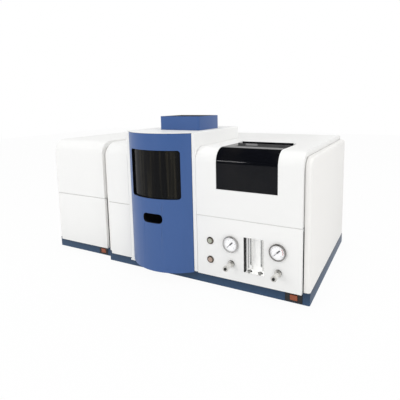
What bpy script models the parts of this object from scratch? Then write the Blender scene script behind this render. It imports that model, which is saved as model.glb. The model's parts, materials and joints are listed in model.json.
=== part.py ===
# Atomic absorption spectrometer: the main instrument and, on its left, the companion power unit.
# Metres, +Z up. The origin is on the floor under the middle of the whole row, the front is at -Y.
import math

import bmesh
import bpy
from mathutils import Matrix, Vector

for leftover in list(bpy.data.objects):
    bpy.data.objects.remove(leftover, do_unlink=True)

# Driving dimensions of the whole instrument
MAIN_WIDTH = 1.034
BASE_DEPTH = 0.760
BASE_HEIGHT = 0.051
FOOT_HEIGHT = 0.004
COMPANION_WIDTH = 0.401
UNITS_GAP = 0.003
COMPANION_SETBACK = 0.035
HOOD_HEIGHT = 0.613
SIDE_PANEL_HEIGHT = 0.591
COLUMN_HEIGHT = 0.6755
SEAM_HEIGHT = 0.319
PANEL_PROUD = 0.017
PANEL_LAP = 0.004

# Fits shared by all pieces
FIT_GAP = 0.0003
RUNNING_GAP = 0.001
SEAM_WIDTH = 0.003
OVERRUN = 0.010
SHEET = 0.003
WELD = 1e-6
SHARP_EDGE = math.radians(30)

# Bases and feet
BASE_CORNER_RADIUS = 0.006
FOOT_RADIUS = 0.024
FOOT_INSET = 0.075
FOOT_EMBED = 0.003

# Side panels and front panels
PANEL_EDGE_RADIUS = 0.002
SIDE_THICKNESS = 0.0264
SIDE_REVEAL = 0.0035
SIDE_FRONT_RADIUS = 0.050
SIDE_REAR_RADIUS = 0.012
SIDE_EDGE_RADIUS = 0.010

# Hoods
HOOD_BEND_RADIUS = 0.061
HOOD_WALL = 0.006

# Burner column
COLUMN_CENTRE = 0.349
COLUMN_WIDTH = 0.375
COLUMN_SIDE_WALL = 0.0165
COLUMN_DEPTH = 0.441
COLUMN_REAR_WALL = 0.010
COLUMN_FLOOR = 0.008
COLUMN_FLOOR_SETBACK = 0.010
COLUMN_EDGE_RADIUS = 0.008
CAP_THICKNESS = 0.003
CAP_LEDGE = 0.006
PORT_RADIUS = 0.022

# Door, its pane and its hinge
DOOR_SAGITTA = 0.0695
DOOR_THICKNESS = 0.012
DOOR_BOTTOM = 0.050
HINGE_INSET = 0.0075
HINGE_PROUD = 0.001
HINGE_EAR = 0.0055
HINGE_ROD_RADIUS = 0.003
HINGE_BORE_RADIUS = 0.0033
ROD_SEAT_DEPTH = 0.002
LUG_THICKNESS = 0.006
WINDOW_SIDE_MARGIN = 0.039
WINDOW_LOW = 0.3855
WINDOW_HIGH = 0.5995
WINDOW_CORNER = 0.012
PANE_THICKNESS = 0.003
PANE_RECESS = 0.0085
SLOT_WIDTH = 0.104
SLOT_HEIGHT = 0.043
SLOT_MIDDLE = 0.296
SLOT_CORNER = 0.018

# Chimney
CHIMNEY_OFFSET = 0.039
CHIMNEY_SIDE_MARGIN = 0.024
CHIMNEY_DEPTH = 0.190
CHIMNEY_HEIGHT = 0.064
CHIMNEY_CORNER = 0.010
CHIMNEY_WALL = 0.003

# Optical axis
BEAM_SETBACK = 0.202
BEAM_HEIGHT = 0.459

# Burner, chamber and lift
BURNER_LENGTH = 0.118
BURNER_WIDTH = 0.026
BURNER_TOP_WIDTH = 0.012
BURNER_HEAD_HEIGHT = 0.034
BURNER_SHOULDER = 0.020
BURNER_BELOW_BEAM = 0.010
BURNER_SLOT_LENGTH = 0.100
BURNER_SLOT_WIDTH = 0.001
BURNER_SLOT_DEPTH = 0.010
BURNER_NECK_RADIUS = 0.016
BURNER_NECK_LENGTH = 0.026
SOCKET_WALL = 0.006
CHAMBER_RADIUS = 0.027
CHAMBER_DROP = 0.090
CHAMBER_FRONT = 0.078
CHAMBER_REAR = 0.055
CHAMBER_FLANGE_RADIUS = 0.033
CHAMBER_FLANGE_LENGTH = 0.010
DRAIN_RADIUS = 0.007
DRAIN_LENGTH = 0.055
NEBULISER_LENGTH = 0.050
NEBULISER_RADIUS = 0.013
NEBULISER_WAIST_SHARE = 0.7
CAPILLARY_RADIUS = 0.003
POST_SETBACK = 0.112
POST_RADIUS = 0.008
POST_RISE = 0.016
CARRIAGE_WIDTH = 0.060
CARRIAGE_DEPTH = 0.040
CARRIAGE_HEIGHT = 0.070
CARRIAGE_ARM_WIDTH = 0.030
CARRIAGE_ARM_HEIGHT = 0.036
GEARBOX_WIDTH = 0.130
GEARBOX_DEPTH = 0.044
GEARBOX_HEIGHT = 0.080
GEARBOX_SHIFT = 0.030
LIFT_KNOB_OFFSET = 0.080
LIFT_KNOB_HEIGHT = 0.040
LIFT_KNOB_RADIUS = 0.018
LIFT_KNOB_LENGTH = 0.022
LIFT_SHAFT_RADIUS = 0.004
LIFT_SHAFT_LENGTH = 0.120
LIFT_SHAFT_ENTRY = 0.010
TRAY_SIDE_GAP = 0.032
TRAY_DEPTH = 0.200
TRAY_HEIGHT = 0.014
TRAY_WALL = 0.002

# Lamp lid and its hinge
LID_WIDTH = 0.268
LID_DROP = 0.1717
LID_REACH = 0.252
LID_THICKNESS = 0.003
LID_LIP = 0.008
LID_CLEARANCE = 0.0008
LID_BARREL_RADIUS = 0.004
LID_ROD_RADIUS = 0.002
LID_BORE_RADIUS = 0.0023
LID_LUG_LENGTH = 0.010
LID_AXIS_RISE = 0.001

# Optical bench, turret and lamps
BENCH_THICKNESS = 0.016
BENCH_SETBACK = 0.0175
TURRET_LEFT = 0.175
TURRET_PITCH_RADIUS = 0.045
TURRET_RIM = 0.0065
TURRET_DISC_THICKNESS = 0.006
TURRET_DISC_SPACING = 0.055
TURRET_HUB_RADIUS = 0.014
TURRET_SHAFT_RADIUS = 0.006
TURRET_SHAFT_END = 0.052
STAND_PLATE = 0.008
STAND_HALF_WIDTH = 0.050
STAND_FOOT_LENGTH = 0.060
STAND_GAP = 0.006
STAND_HEAD = 0.028
STAND_MOTOR = 0.042
STAND_BEARING_END = 0.002
LAMP_COUNT = 4
LAMP_RADIUS = 0.0185
LAMP_NECK_RADIUS = 0.014
LAMP_GLASS_LENGTH = 0.075
LAMP_NECK_LENGTH = 0.030
LAMP_BASE_LENGTH = 0.055
LAMP_PIN_RADIUS = 0.008
LAMP_PIN_LENGTH = 0.012
LAMP_PROJECTION = 0.065

# Monochromator
MONO_FRONT_GAP = 0.030
MONO_REAR_GAP = 0.050
MONO_TOWER_LENGTH = 0.120
MONO_TOWER_MARGIN = 0.018
MONO_TOWER_RISE = 0.045
MONO_PORT_RADIUS = 0.015
MONO_PORT_DEPTH = 0.030

# Gas controls, measured from the control panel's left edge and from the floor
BUTTON_X = 0.066
BUTTON_HIGH = 0.211
BUTTON_LOW = 0.126
BUTTON_RING_RADIUS = 0.0163
BUTTON_RING_HEIGHT = 0.004
BUTTON_BARREL_RADIUS = 0.0125
BUTTON_BARREL_LENGTH = 0.026
BUTTON_RADIUS = 0.0105
BUTTON_PROUD = 0.0025
BUTTON_LENGTH = 0.018
BUTTON_CROWN = 0.0015
GAUGE_LEFT_X = 0.164
GAUGE_RIGHT_X = 0.3697
GAUGE_Z = 0.2105
GAUGE_RADIUS = 0.035
GAUGE_BARREL_RADIUS = 0.0295
GAUGE_BARREL_LENGTH = 0.038
GAUGE_BEZEL_HEIGHT = 0.0105
GAUGE_BEZEL_INNER = 0.0300
GAUGE_DIAL_DEPTH = 0.0060
GAUGE_BEZEL_CHAMFER = 0.0020
NEEDLE_LENGTH = 0.022
NEEDLE_TAIL = 0.014
NEEDLE_WIDTH = 0.0024
NEEDLE_THICKNESS = 0.0010
NEEDLE_HUB_RADIUS = 0.0032
NEEDLE_REST = math.radians(-135)
FLOW_LEFT = 0.222
FLOW_WIDTH = 0.090
FLOW_BOTTOM = 0.098
FLOW_HEIGHT = 0.1515
FLOW_BLOCK_LEFT_GAP = 0.010
FLOW_BLOCK_LAP = 0.008
FLOW_BLOCK_DEPTH = 0.030
FLOW_TUBE_LEFT = 0.249
FLOW_TUBE_RIGHT = 0.296
FLOW_BORE_RADIUS = 0.0055
FLOW_BORE_BOTTOM = 0.128
FLOAT_RADIUS = 0.0042
FLOAT_HEIGHT = 0.010
FLOAT_TIP_RADIUS = 0.0022
FLOAT_WAIST_SHARE = 0.6
FLOW_KNOB_Z = 0.108
FLOW_KNOB_RADIUS = 0.0065
FLOW_KNOB_LENGTH = 0.011
FLOW_KNOB_STEM_RADIUS = 0.0025
FLOW_KNOB_STEM_LENGTH = 0.010
REGULATOR_LEFT_X = 0.166
REGULATOR_RIGHT_X = 0.3725
REGULATOR_Z = 0.125
REGULATOR_REACH = 0.062
REGULATOR_STEM_RADIUS = 0.008
REGULATOR_STEM_LENGTH = 0.020
REGULATOR_COLLAR_RADIUS = 0.0145
REGULATOR_COLLAR_LENGTH = 0.006
REGULATOR_NECK_RADIUS = 0.0085
REGULATOR_NECK_LENGTH = 0.032
REGULATOR_KNOB_RADIUS = 0.0125
REGULATOR_KNOB_GROOVE = 0.0008
REGULATOR_END_RADIUS = 0.0060
REGULATOR_END_LENGTH = 0.004

# Power rockers in the bases
ROCKER_RIGHT_OFFSET = 0.065
COMPANION_ROCKER_OFFSET = 0.074
ROCKER_Z = 0.0275
BEZEL_WIDTH = 0.070
BEZEL_HEIGHT = 0.040
BEZEL_DEPTH = 0.020
BEZEL_PROUD = 0.0015
COMPANION_BEZEL_WIDTH = 0.058
ROCKER_WIDTH = 0.030
ROCKER_HEIGHT = 0.022
ROCKER_DEPTH = 0.009
ROCKER_PROUD = 0.0035
ROCKER_RIDGE = 0.0012
ROCKER_SIDE_GAP = 0.0005
ROCKER_SWEEP = 0.0012
ROCKER_TILT = math.radians(6)

# Rear cover, rear panels, fan and mains inlet
COVER_THICKNESS = 0.004
COVER_FLANGE = 0.025
REAR_SHEET = 0.003
VENT_COUNT = 7
VENT_WIDTH = 0.110
VENT_HEIGHT = 0.005
VENT_PITCH = 0.014
VENT_LOW = 0.120
VENT_OFFSETS = (0.350, 0.620)
FAN_SIZE = 0.120
FAN_DEPTH = 0.025
FAN_HOLE_RADIUS = 0.056
FAN_HUB_RADIUS = 0.020
FAN_HUB_LENGTH = 0.016
FAN_ROTOR_GAP = 0.0005
FAN_BLADES = 7
FAN_BLADE_REACH = 0.053
FAN_BLADE_CHORD = 0.020
FAN_BLADE_THICKNESS = 0.0015
FAN_BLADE_PITCH = math.radians(38)
FAN_STRUT = 0.004
FAN_INSET = 0.200
FAN_BELOW_HOOD = 0.163
INLET_INSET = 0.100
INLET_Z = 0.120
INLET_WIDTH = 0.048
INLET_HEIGHT = 0.028
INLET_DEPTH = 0.022
INLET_FLANGE = 0.006
INLET_FLANGE_THICKNESS = 0.002
INLET_WALL = 0.003
INLET_RECESS = 0.016
INLET_PIN = 0.004
INLET_PIN_PITCH = 0.012

# Facet counts
ROUND = 24
FINE_ARC = 8

# Places worked out from the driving dimensions
overall_width = COMPANION_WIDTH + UNITS_GAP + MAIN_WIDTH
overall_depth = BASE_DEPTH + PANEL_PROUD + DOOR_SAGITTA
companion_left = -overall_width / 2
companion_right = companion_left + COMPANION_WIDTH
main_left = companion_right + UNITS_GAP
main_right = overall_width / 2
rear = overall_depth / 2
base_front = rear - BASE_DEPTH
panel_front = base_front - PANEL_PROUD
companion_front = base_front + COMPANION_SETBACK
base_top = FOOT_HEIGHT + BASE_HEIGHT
panel_bottom = base_top - PANEL_LAP
seam_low = SEAM_HEIGHT - SEAM_WIDTH / 2
seam_high = SEAM_HEIGHT + SEAM_WIDTH / 2

column_x = main_left + COLUMN_CENTRE
column_left = column_x - COLUMN_WIDTH / 2
column_right = column_x + COLUMN_WIDTH / 2
column_rear = panel_front + COLUMN_DEPTH
cap_bottom = COLUMN_HEIGHT - CAP_THICKNESS
door_half = COLUMN_WIDTH / 2 - COLUMN_SIDE_WALL
door_radius = (door_half ** 2 + DOOR_SAGITTA ** 2) / (2 * DOOR_SAGITTA)
door_arc_y = panel_front - DOOR_SAGITTA + door_radius
door_angle = math.asin(door_half / door_radius)
door_top = cap_bottom - RUNNING_GAP
hinge_x = column_x - door_half + HINGE_INSET
hinge_y = panel_front - HINGE_PROUD

block_left = main_left + SIDE_THICKNESS + SIDE_REVEAL
block_left_end = column_left - RUNNING_GAP
block_right_start = column_right + RUNNING_GAP
block_right = main_right - SIDE_THICKNESS - SIDE_REVEAL

beam_y = panel_front + BEAM_SETBACK
burner_x = column_x + CHIMNEY_OFFSET
chimney_half = door_half - CHIMNEY_OFFSET - CHIMNEY_SIDE_MARGIN
burner_top = BEAM_HEIGHT - BURNER_BELOW_BEAM
burner_base = burner_top - BURNER_HEAD_HEIGHT
chamber_z = burner_top - CHAMBER_DROP
floor_top = base_top + FIT_GAP + COLUMN_FLOOR
bench_top = seam_high - FIT_GAP


def arc(centre_a, centre_b, radius, start, end, steps):
    """Points along a round stretch, angles in degrees."""
    points = []
    for step in range(steps + 1):
        angle = math.radians(start + (end - start) * step / steps)
        points.append((centre_a + radius * math.cos(angle), centre_b + radius * math.sin(angle)))
    return points


def rounded_outline(low_a, high_a, low_b, high_b, radius, steps=4):
    """A rectangle with round corners, anticlockwise."""
    return (arc(high_a - radius, low_b + radius, radius, -90, 0, steps)
            + arc(high_a - radius, high_b - radius, radius, 0, 90, steps)
            + arc(low_a + radius, high_b - radius, radius, 90, 180, steps)
            + arc(low_a + radius, low_b + radius, radius, 180, 270, steps))


def rectangle(low_a, high_a, low_b, high_b):
    return [(low_a, low_b), (high_a, low_b), (high_a, high_b), (low_a, high_b)]


PLACING = {
    "X": lambda a, b, along: Vector((along, a, b)),
    "Y": lambda a, b, along: Vector((a, along, b)),
    "Z": lambda a, b, along: Vector((a, b, along)),
}


def prism(outline, axis, low, high):
    """A closed outline drawn across an axis and extruded along it."""
    place = PLACING[axis]
    bm = bmesh.new()
    face = bm.faces.new([bm.verts.new(place(a, b, low)) for a, b in outline])
    grown = bmesh.ops.extrude_face_region(bm, geom=[face])
    moved = [item for item in grown["geom"] if isinstance(item, bmesh.types.BMVert)]
    bmesh.ops.translate(bm, vec=place(0, 0, high - low), verts=moved)
    bmesh.ops.recalc_face_normals(bm, faces=bm.faces)
    return bm


def box(low_x, high_x, low_y, high_y, low_z, high_z):
    return prism(rectangle(low_x, high_x, low_y, high_y), "Z", low_z, high_z)


def turned(profile, centre, direction, segments=ROUND, closed=False):
    """A profile of (radius, height) points turned about an axis through centre."""
    bm = bmesh.new()
    row = [bm.verts.new((radius, 0, height)) for radius, height in profile]
    following = row[1:] + row[:1] if closed else row[1:]
    edges = [bm.edges.new(pair) for pair in zip(row, following)]
    bmesh.ops.spin(bm, geom=row + edges, cent=(0, 0, 0), axis=(0, 0, 1), angle=math.tau,
                   steps=segments, use_merge=True)
    bmesh.ops.remove_doubles(bm, verts=bm.verts, dist=WELD)
    turn = Vector((0, 0, 1)).rotation_difference(Vector(direction)).to_matrix()
    bmesh.ops.rotate(bm, verts=bm.verts, cent=(0, 0, 0), matrix=turn)
    bmesh.ops.translate(bm, verts=bm.verts, vec=centre)
    bmesh.ops.recalc_face_normals(bm, faces=bm.faces)
    return bm


def cylinder(radius, centre, direction, length, segments=ROUND):
    """A plain cylinder that starts at centre and runs along direction."""
    return turned([(0, 0), (radius, 0), (radius, length), (0, length)], centre, direction, segments)


def soften(bm, width, segments, chosen):
    """Round the edges whose two ends pass the test."""
    edges = [edge for edge in bm.edges if chosen(edge.verts[0].co, edge.verts[1].co)]
    bmesh.ops.bevel(bm, geom=edges, offset=width, offset_type="OFFSET", segments=segments,
                    profile=0.5, affect="EDGES", clamp_overlap=True, material=-1)
    return bm


def painted(name, color, roughness, metallic=0.0):
    material = bpy.data.materials.new(name)
    material.use_nodes = True
    shader = material.node_tree.nodes["Principled BSDF"]
    shader.inputs["Base Color"].default_value = (*color, 1)
    shader.inputs["Roughness"].default_value = roughness
    shader.inputs["Metallic"].default_value = metallic
    return material


def piece(name, bm, material, origin=(0, 0, 0)):
    """A finished sub-part, with its own origin where it turns or slides."""
    bmesh.ops.translate(bm, verts=bm.verts, vec=-Vector(origin))
    mesh = bpy.data.meshes.new(name)
    bm.to_mesh(mesh)
    bm.free()
    mesh.shade_smooth()
    mesh.set_sharp_from_angle(angle=SHARP_EDGE)
    mesh.materials.append(material)
    made = bpy.data.objects.new(name, mesh)
    made.location = origin
    bpy.context.scene.collection.objects.link(made)
    return made


def tool(target, bm, operation):
    """Cut a shape out of a sub-part, or join one to it."""
    helper = piece(f"{target.name}_tool", bm, target.data.materials[0])
    helper.hide_render = True
    helper.display_type = "WIRE"
    change = target.modifiers.new(operation.title(), "BOOLEAN")
    change.operation = operation
    change.solver = "EXACT"
    change.object = helper


def cut(target, bm):
    tool(target, bm, "DIFFERENCE")


def join(target, bm):
    tool(target, bm, "UNION")


# Materials
white_paint = painted("white_paint", (0.90, 0.90, 0.88), 0.38)
blue_paint = painted("blue_paint", (0.065, 0.13, 0.33), 0.42)
slate_paint = painted("slate_paint", (0.055, 0.085, 0.15), 0.45)
smoked_acrylic = painted("smoked_acrylic", (0.010, 0.011, 0.014), 0.08)
steel = painted("steel", (0.55, 0.56, 0.57), 0.30, 1.0)
chrome = painted("chrome", (0.80, 0.80, 0.82), 0.10, 1.0)
titanium = painted("titanium", (0.42, 0.41, 0.40), 0.35, 1.0)
cast_grey = painted("cast_grey", (0.20, 0.21, 0.22), 0.55)
black_plastic = painted("black_plastic", (0.012, 0.012, 0.013), 0.40)
orange_plastic = painted("orange_plastic", (0.62, 0.12, 0.04), 0.32)
green_plastic = painted("green_plastic", (0.16, 0.22, 0.15), 0.35)
red_plastic = painted("red_plastic", (0.30, 0.08, 0.04), 0.35)
dial_face = painted("dial_face", (0.85, 0.86, 0.84), 0.35)
clear_acrylic = painted("clear_acrylic", (0.72, 0.76, 0.76), 0.08)
chamber_polymer = painted("chamber_polymer", (0.60, 0.61, 0.60), 0.45)
lamp_glass = painted("lamp_glass", (0.50, 0.46, 0.38), 0.12)


# Bases: blue welded plinths with round corners, on rubber feet, pocketed for the power rocker
def base(name, left, right, front, bezel_x, bezel_width):
    outline = rounded_outline(left, right, front, rear, BASE_CORNER_RADIUS, FINE_ARC // 2)
    plinth = piece(name, prism(outline, "Z", FOOT_HEIGHT, base_top), slate_paint)
    for x in (left + FOOT_INSET, right - FOOT_INSET):
        for y in (front + FOOT_INSET, rear - FOOT_INSET):
            join(plinth, cylinder(FOOT_RADIUS, (x, y, 0), (0, 0, 1), FOOT_HEIGHT + FOOT_EMBED))
    half = bezel_width / 2 + FIT_GAP
    cut(plinth, box(bezel_x - half, bezel_x + half, front - OVERRUN, front + BEZEL_DEPTH + FIT_GAP,
                    ROCKER_Z - BEZEL_HEIGHT / 2 - FIT_GAP, ROCKER_Z + BEZEL_HEIGHT / 2 + FIT_GAP))


main_rocker_x = main_right - ROCKER_RIGHT_OFFSET
companion_rocker_x = companion_right - COMPANION_ROCKER_OFFSET
base("main_base", main_left, main_right, base_front, main_rocker_x, BEZEL_WIDTH)
base("companion_base", companion_left, companion_right, companion_front, companion_rocker_x,
     COMPANION_BEZEL_WIDTH)


# Power rockers: each rocks on a cross pin, in a black bezel sunk into the plinth
def power_switch(prefix, x, front, bezel_width):
    low_z = ROCKER_Z - BEZEL_HEIGHT / 2
    high_z = ROCKER_Z + BEZEL_HEIGHT / 2
    bezel = piece(f"{prefix}_rocker_bezel",
                  box(x - bezel_width / 2, x + bezel_width / 2, front - BEZEL_PROUD,
                      front + BEZEL_DEPTH, low_z, high_z), black_plastic)
    half_x = ROCKER_WIDTH / 2
    half_z = ROCKER_HEIGHT / 2
    pivot_y = front + ROCKER_PROUD
    sweep = half_z + ROCKER_SWEEP
    cut(bezel, box(x - half_x - ROCKER_SIDE_GAP, x + half_x + ROCKER_SIDE_GAP, front - OVERRUN,
                   pivot_y + ROCKER_DEPTH + RUNNING_GAP, ROCKER_Z - sweep, ROCKER_Z + sweep))
    face_y = front - ROCKER_PROUD
    shape = [(face_y, ROCKER_Z - half_z), (face_y + ROCKER_RIDGE, ROCKER_Z),
             (face_y, ROCKER_Z + half_z), (pivot_y, ROCKER_Z + half_z),
             (pivot_y + ROCKER_DEPTH, ROCKER_Z + half_z / 2),
             (pivot_y + ROCKER_DEPTH, ROCKER_Z - half_z / 2), (pivot_y, ROCKER_Z - half_z)]
    rocker = prism(shape, "X", x - half_x, x + half_x)
    bmesh.ops.rotate(rocker, verts=rocker.verts, cent=(x, pivot_y, ROCKER_Z),
                     matrix=Matrix.Rotation(ROCKER_TILT, 3, "X"))
    piece(f"{prefix}_rocker", rocker, orange_plastic, (x, pivot_y, ROCKER_Z))


power_switch("power", main_rocker_x, base_front, BEZEL_WIDTH)
power_switch("companion", companion_rocker_x, companion_front, COMPANION_BEZEL_WIDTH)


# Side panels: thick end cheeks that stand on the plinth, rounded round the outer edge
def side_panel(name, outer, inner, front):
    foot = base_top + FIT_GAP
    outline = [(front, foot)]
    outline += arc(front + SIDE_FRONT_RADIUS, SIDE_PANEL_HEIGHT - SIDE_FRONT_RADIUS,
                   SIDE_FRONT_RADIUS, 180, 90, FINE_ARC)
    outline += arc(rear - SIDE_REAR_RADIUS, SIDE_PANEL_HEIGHT - SIDE_REAR_RADIUS,
                   SIDE_REAR_RADIUS, 90, 0, FINE_ARC // 2)
    outline += [(rear, foot)]
    shell = prism(outline, "X", inner, outer)
    soften(shell, SIDE_EDGE_RADIUS, 3, lambda a, b: max(abs(a.x - outer), abs(b.x - outer)) < WELD
           and max(a.z, b.z) > foot + WELD)
    piece(name, shell, white_paint)


side_panel("left_side_panel", main_left, main_left + SIDE_THICKNESS, base_front)
side_panel("right_side_panel", main_right, main_right - SIDE_THICKNESS, base_front)
side_panel("companion_left_side_panel", companion_left, companion_left + SIDE_THICKNESS,
           companion_front)
side_panel("companion_right_side_panel", companion_right, companion_right - SIDE_THICKNESS,
           companion_front)


# Hoods: moulded shells that wrap from the front over a wide bend to the top, open below and behind
def bend_outline(front, back, low, top, radius):
    """Front face, wide bend and top of a hood, seen from the side."""
    return ([(front, low)] + arc(front + radius, top - radius, radius, 180, 90, FINE_ARC)
            + [(back, top), (back, low)])


def hood(name, left, right, front, back):
    shell = piece(name, prism(bend_outline(front, back, seam_high, HOOD_HEIGHT, HOOD_BEND_RADIUS),
                              "X", left, right), white_paint)
    hollow = bend_outline(front + HOOD_WALL, back + OVERRUN, seam_high - OVERRUN,
                          HOOD_HEIGHT - HOOD_WALL, HOOD_BEND_RADIUS - HOOD_WALL)
    cut(shell, prism(hollow, "X", left + HOOD_WALL, right - HOOD_WALL))
    return shell


left_hood = hood("left_hood", block_left, block_left_end, panel_front, column_rear)
right_hood = hood("right_hood", block_right_start, block_right, panel_front, column_rear)
companion_block_left = companion_left + SIDE_THICKNESS + SIDE_REVEAL
companion_block_right = companion_right - SIDE_THICKNESS - SIDE_REVEAL
companion_panel_front = companion_front - PANEL_PROUD
companion_hood = hood("companion_hood", companion_block_left, companion_block_right,
                      companion_panel_front, rear - REAR_SHEET - FIT_GAP)

# Light port from the lamp compartment into the burner column
port_start = Vector((column_left - OVERRUN, beam_y, BEAM_HEIGHT))
port_length = COLUMN_WIDTH + RUNNING_GAP + HOOD_WALL + 2 * OVERRUN
cut(right_hood, cylinder(PORT_RADIUS, port_start, (1, 0, 0), port_length))
cut(left_hood, cylinder(PORT_RADIUS, (block_left_end + OVERRUN, beam_y, BEAM_HEIGHT), (-1, 0, 0),
                        HOOD_WALL + 2 * OVERRUN))

# Lid opening in the right hood: a rebate for the lid and a smaller hole through
lid_middle = (block_right_start + block_right) / 2
lid_left = lid_middle - LID_WIDTH / 2
lid_right = lid_middle + LID_WIDTH / 2
lid_low = HOOD_HEIGHT - LID_DROP
lid_back = panel_front + LID_REACH
lid_axis_z = HOOD_HEIGHT + LID_AXIS_RISE
rebate_depth = LID_THICKNESS + FIT_GAP
rebate_radius = HOOD_BEND_RADIUS - rebate_depth
rebate_back = lid_back + LID_BARREL_RADIUS + RUNNING_GAP
rebate_outer = [(panel_front - OVERRUN, lid_low - LID_CLEARANCE), (panel_front - OVERRUN,
                HOOD_HEIGHT + OVERRUN), (rebate_back, HOOD_HEIGHT + OVERRUN)]
rebate_inner = [(rebate_back, HOOD_HEIGHT - rebate_depth)]
rebate_inner += arc(panel_front + HOOD_BEND_RADIUS, HOOD_HEIGHT - HOOD_BEND_RADIUS, rebate_radius,
                    90, 180, FINE_ARC)
rebate_inner += [(panel_front + rebate_depth, lid_low - LID_CLEARANCE)]
cut(right_hood, prism(rebate_outer + rebate_inner, "X", lid_left - LID_CLEARANCE,
                      lid_right + LID_CLEARANCE))
cut(right_hood, box(lid_left + LID_LIP, lid_right - LID_LIP, panel_front - OVERRUN,
                    lid_back - LID_LIP, lid_low + LID_LIP, HOOD_HEIGHT + OVERRUN))

# Lamp lid: one bent sheet of smoked acrylic, with the hinge barrel rolled along its back edge
lid_inner_radius = HOOD_BEND_RADIUS - LID_THICKNESS
lid_outline = [(panel_front, lid_low)]
lid_outline += arc(panel_front + HOOD_BEND_RADIUS, HOOD_HEIGHT - HOOD_BEND_RADIUS,
                   HOOD_BEND_RADIUS, 180, 90, FINE_ARC)
lid_outline += [(lid_back, HOOD_HEIGHT), (lid_back, HOOD_HEIGHT - LID_THICKNESS)]
lid_outline += arc(panel_front + HOOD_BEND_RADIUS, HOOD_HEIGHT - HOOD_BEND_RADIUS,
                   lid_inner_radius, 90, 180, FINE_ARC)
lid_outline += [(panel_front + LID_THICKNESS, lid_low)]
lamp_lid = piece("lamp_lid", prism(lid_outline, "X", lid_left, lid_right), smoked_acrylic,
                 (lid_middle, lid_back, lid_axis_z))
barrel_left = lid_left + LID_LUG_LENGTH + RUNNING_GAP
barrel_length = LID_WIDTH - 2 * (LID_LUG_LENGTH + RUNNING_GAP)
join(lamp_lid, cylinder(LID_BARREL_RADIUS, (barrel_left, lid_back, lid_axis_z), (1, 0, 0),
                        barrel_length))
cut(lamp_lid, cylinder(LID_BORE_RADIUS, (lid_left - OVERRUN, lid_back, lid_axis_z), (1, 0, 0),
                       LID_WIDTH + 2 * OVERRUN))
lug_corner = math.hypot(LID_BARREL_RADIUS, LID_BARREL_RADIUS)
for lug_start in (lid_left, lid_right - LID_LUG_LENGTH):
    notch_start = lug_start - LID_CLEARANCE - RUNNING_GAP
    cut(lamp_lid, box(notch_start, notch_start + LID_LUG_LENGTH + 2 * (LID_CLEARANCE + RUNNING_GAP),
                      lid_back - lug_corner - RUNNING_GAP, lid_back + OVERRUN,
                      HOOD_HEIGHT - OVERRUN, HOOD_HEIGHT + OVERRUN))
for lug_start in (lid_left, lid_right - LID_LUG_LENGTH):
    join(right_hood, box(lug_start, lug_start + LID_LUG_LENGTH, lid_back - LID_BARREL_RADIUS,
                         lid_back + LID_BARREL_RADIUS, HOOD_HEIGHT - HOOD_WALL,
                         lid_axis_z + LID_BARREL_RADIUS))
cut(right_hood, cylinder(LID_BORE_RADIUS, (lid_left - LID_CLEARANCE / 2, lid_back, lid_axis_z),
                         (1, 0, 0), LID_WIDTH + LID_CLEARANCE, ROUND // 2))
piece("lid_hinge_rod", cylinder(LID_ROD_RADIUS, (lid_left, lid_back, lid_axis_z), (1, 0, 0),
                                LID_WIDTH, ROUND // 2), steel)


# Lower front panels: shallow trays that hang on the front of the plinth, under the seam
def front_panel(name, left, right, front, depth):
    shell = prism(rectangle(left, right, panel_bottom, seam_low), "Y", front, front + depth)
    soften(shell, PANEL_EDGE_RADIUS, 2, lambda a, b: max(a.y, b.y) < front + WELD)
    made = piece(name, shell, white_paint)
    cut(made, box(left + SHEET, right - SHEET, front + SHEET, front + depth + OVERRUN,
                  panel_bottom + SHEET, seam_low - SHEET))
    return made


panel_depth = PANEL_PROUD - FIT_GAP
front_panel("left_front_panel", block_left, block_left_end, panel_front, panel_depth)
front_panel("companion_front_panel", companion_block_left, companion_block_right,
            companion_panel_front, panel_depth)
control_panel = front_panel("control_panel", block_right_start, block_right, panel_front, panel_depth)


def panel_hole(x, z, radius):
    cut(control_panel, cylinder(radius + FIT_GAP, (x, panel_front - OVERRUN, z), (0, 1, 0),
                                PANEL_PROUD + OVERRUN))


# Push buttons: a chromed ring with its barrel through the panel, and the button sliding in it
def push_button(name, z, material):
    x = block_right_start + BUTTON_X
    panel_hole(x, z, BUTTON_BARREL_RADIUS)
    bore = BUTTON_RADIUS + FIT_GAP
    rim = BUTTON_RING_HEIGHT
    ring_profile = [(bore, -BUTTON_BARREL_LENGTH), (BUTTON_BARREL_RADIUS, -BUTTON_BARREL_LENGTH),
                    (BUTTON_BARREL_RADIUS, FIT_GAP), (BUTTON_RING_RADIUS, FIT_GAP),
                    (BUTTON_RING_RADIUS, rim / 2), (BUTTON_RING_RADIUS - rim / 2, rim), (bore, rim)]
    piece(f"{name}_ring", turned(ring_profile, (x, panel_front, z), (0, -1, 0), closed=True), chrome)
    crown = rim + BUTTON_PROUD
    button_profile = [(0, crown - BUTTON_LENGTH), (BUTTON_RADIUS, crown - BUTTON_LENGTH),
                      (BUTTON_RADIUS, crown - BUTTON_CROWN), (BUTTON_RADIUS - BUTTON_CROWN, crown),
                      (0, crown)]
    piece(name, turned(button_profile, (x, panel_front, z), (0, -1, 0)), material,
          (x, panel_front, z))


push_button("ignition_button", BUTTON_HIGH, green_plastic)
push_button("stop_button", BUTTON_LOW, red_plastic)


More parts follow.
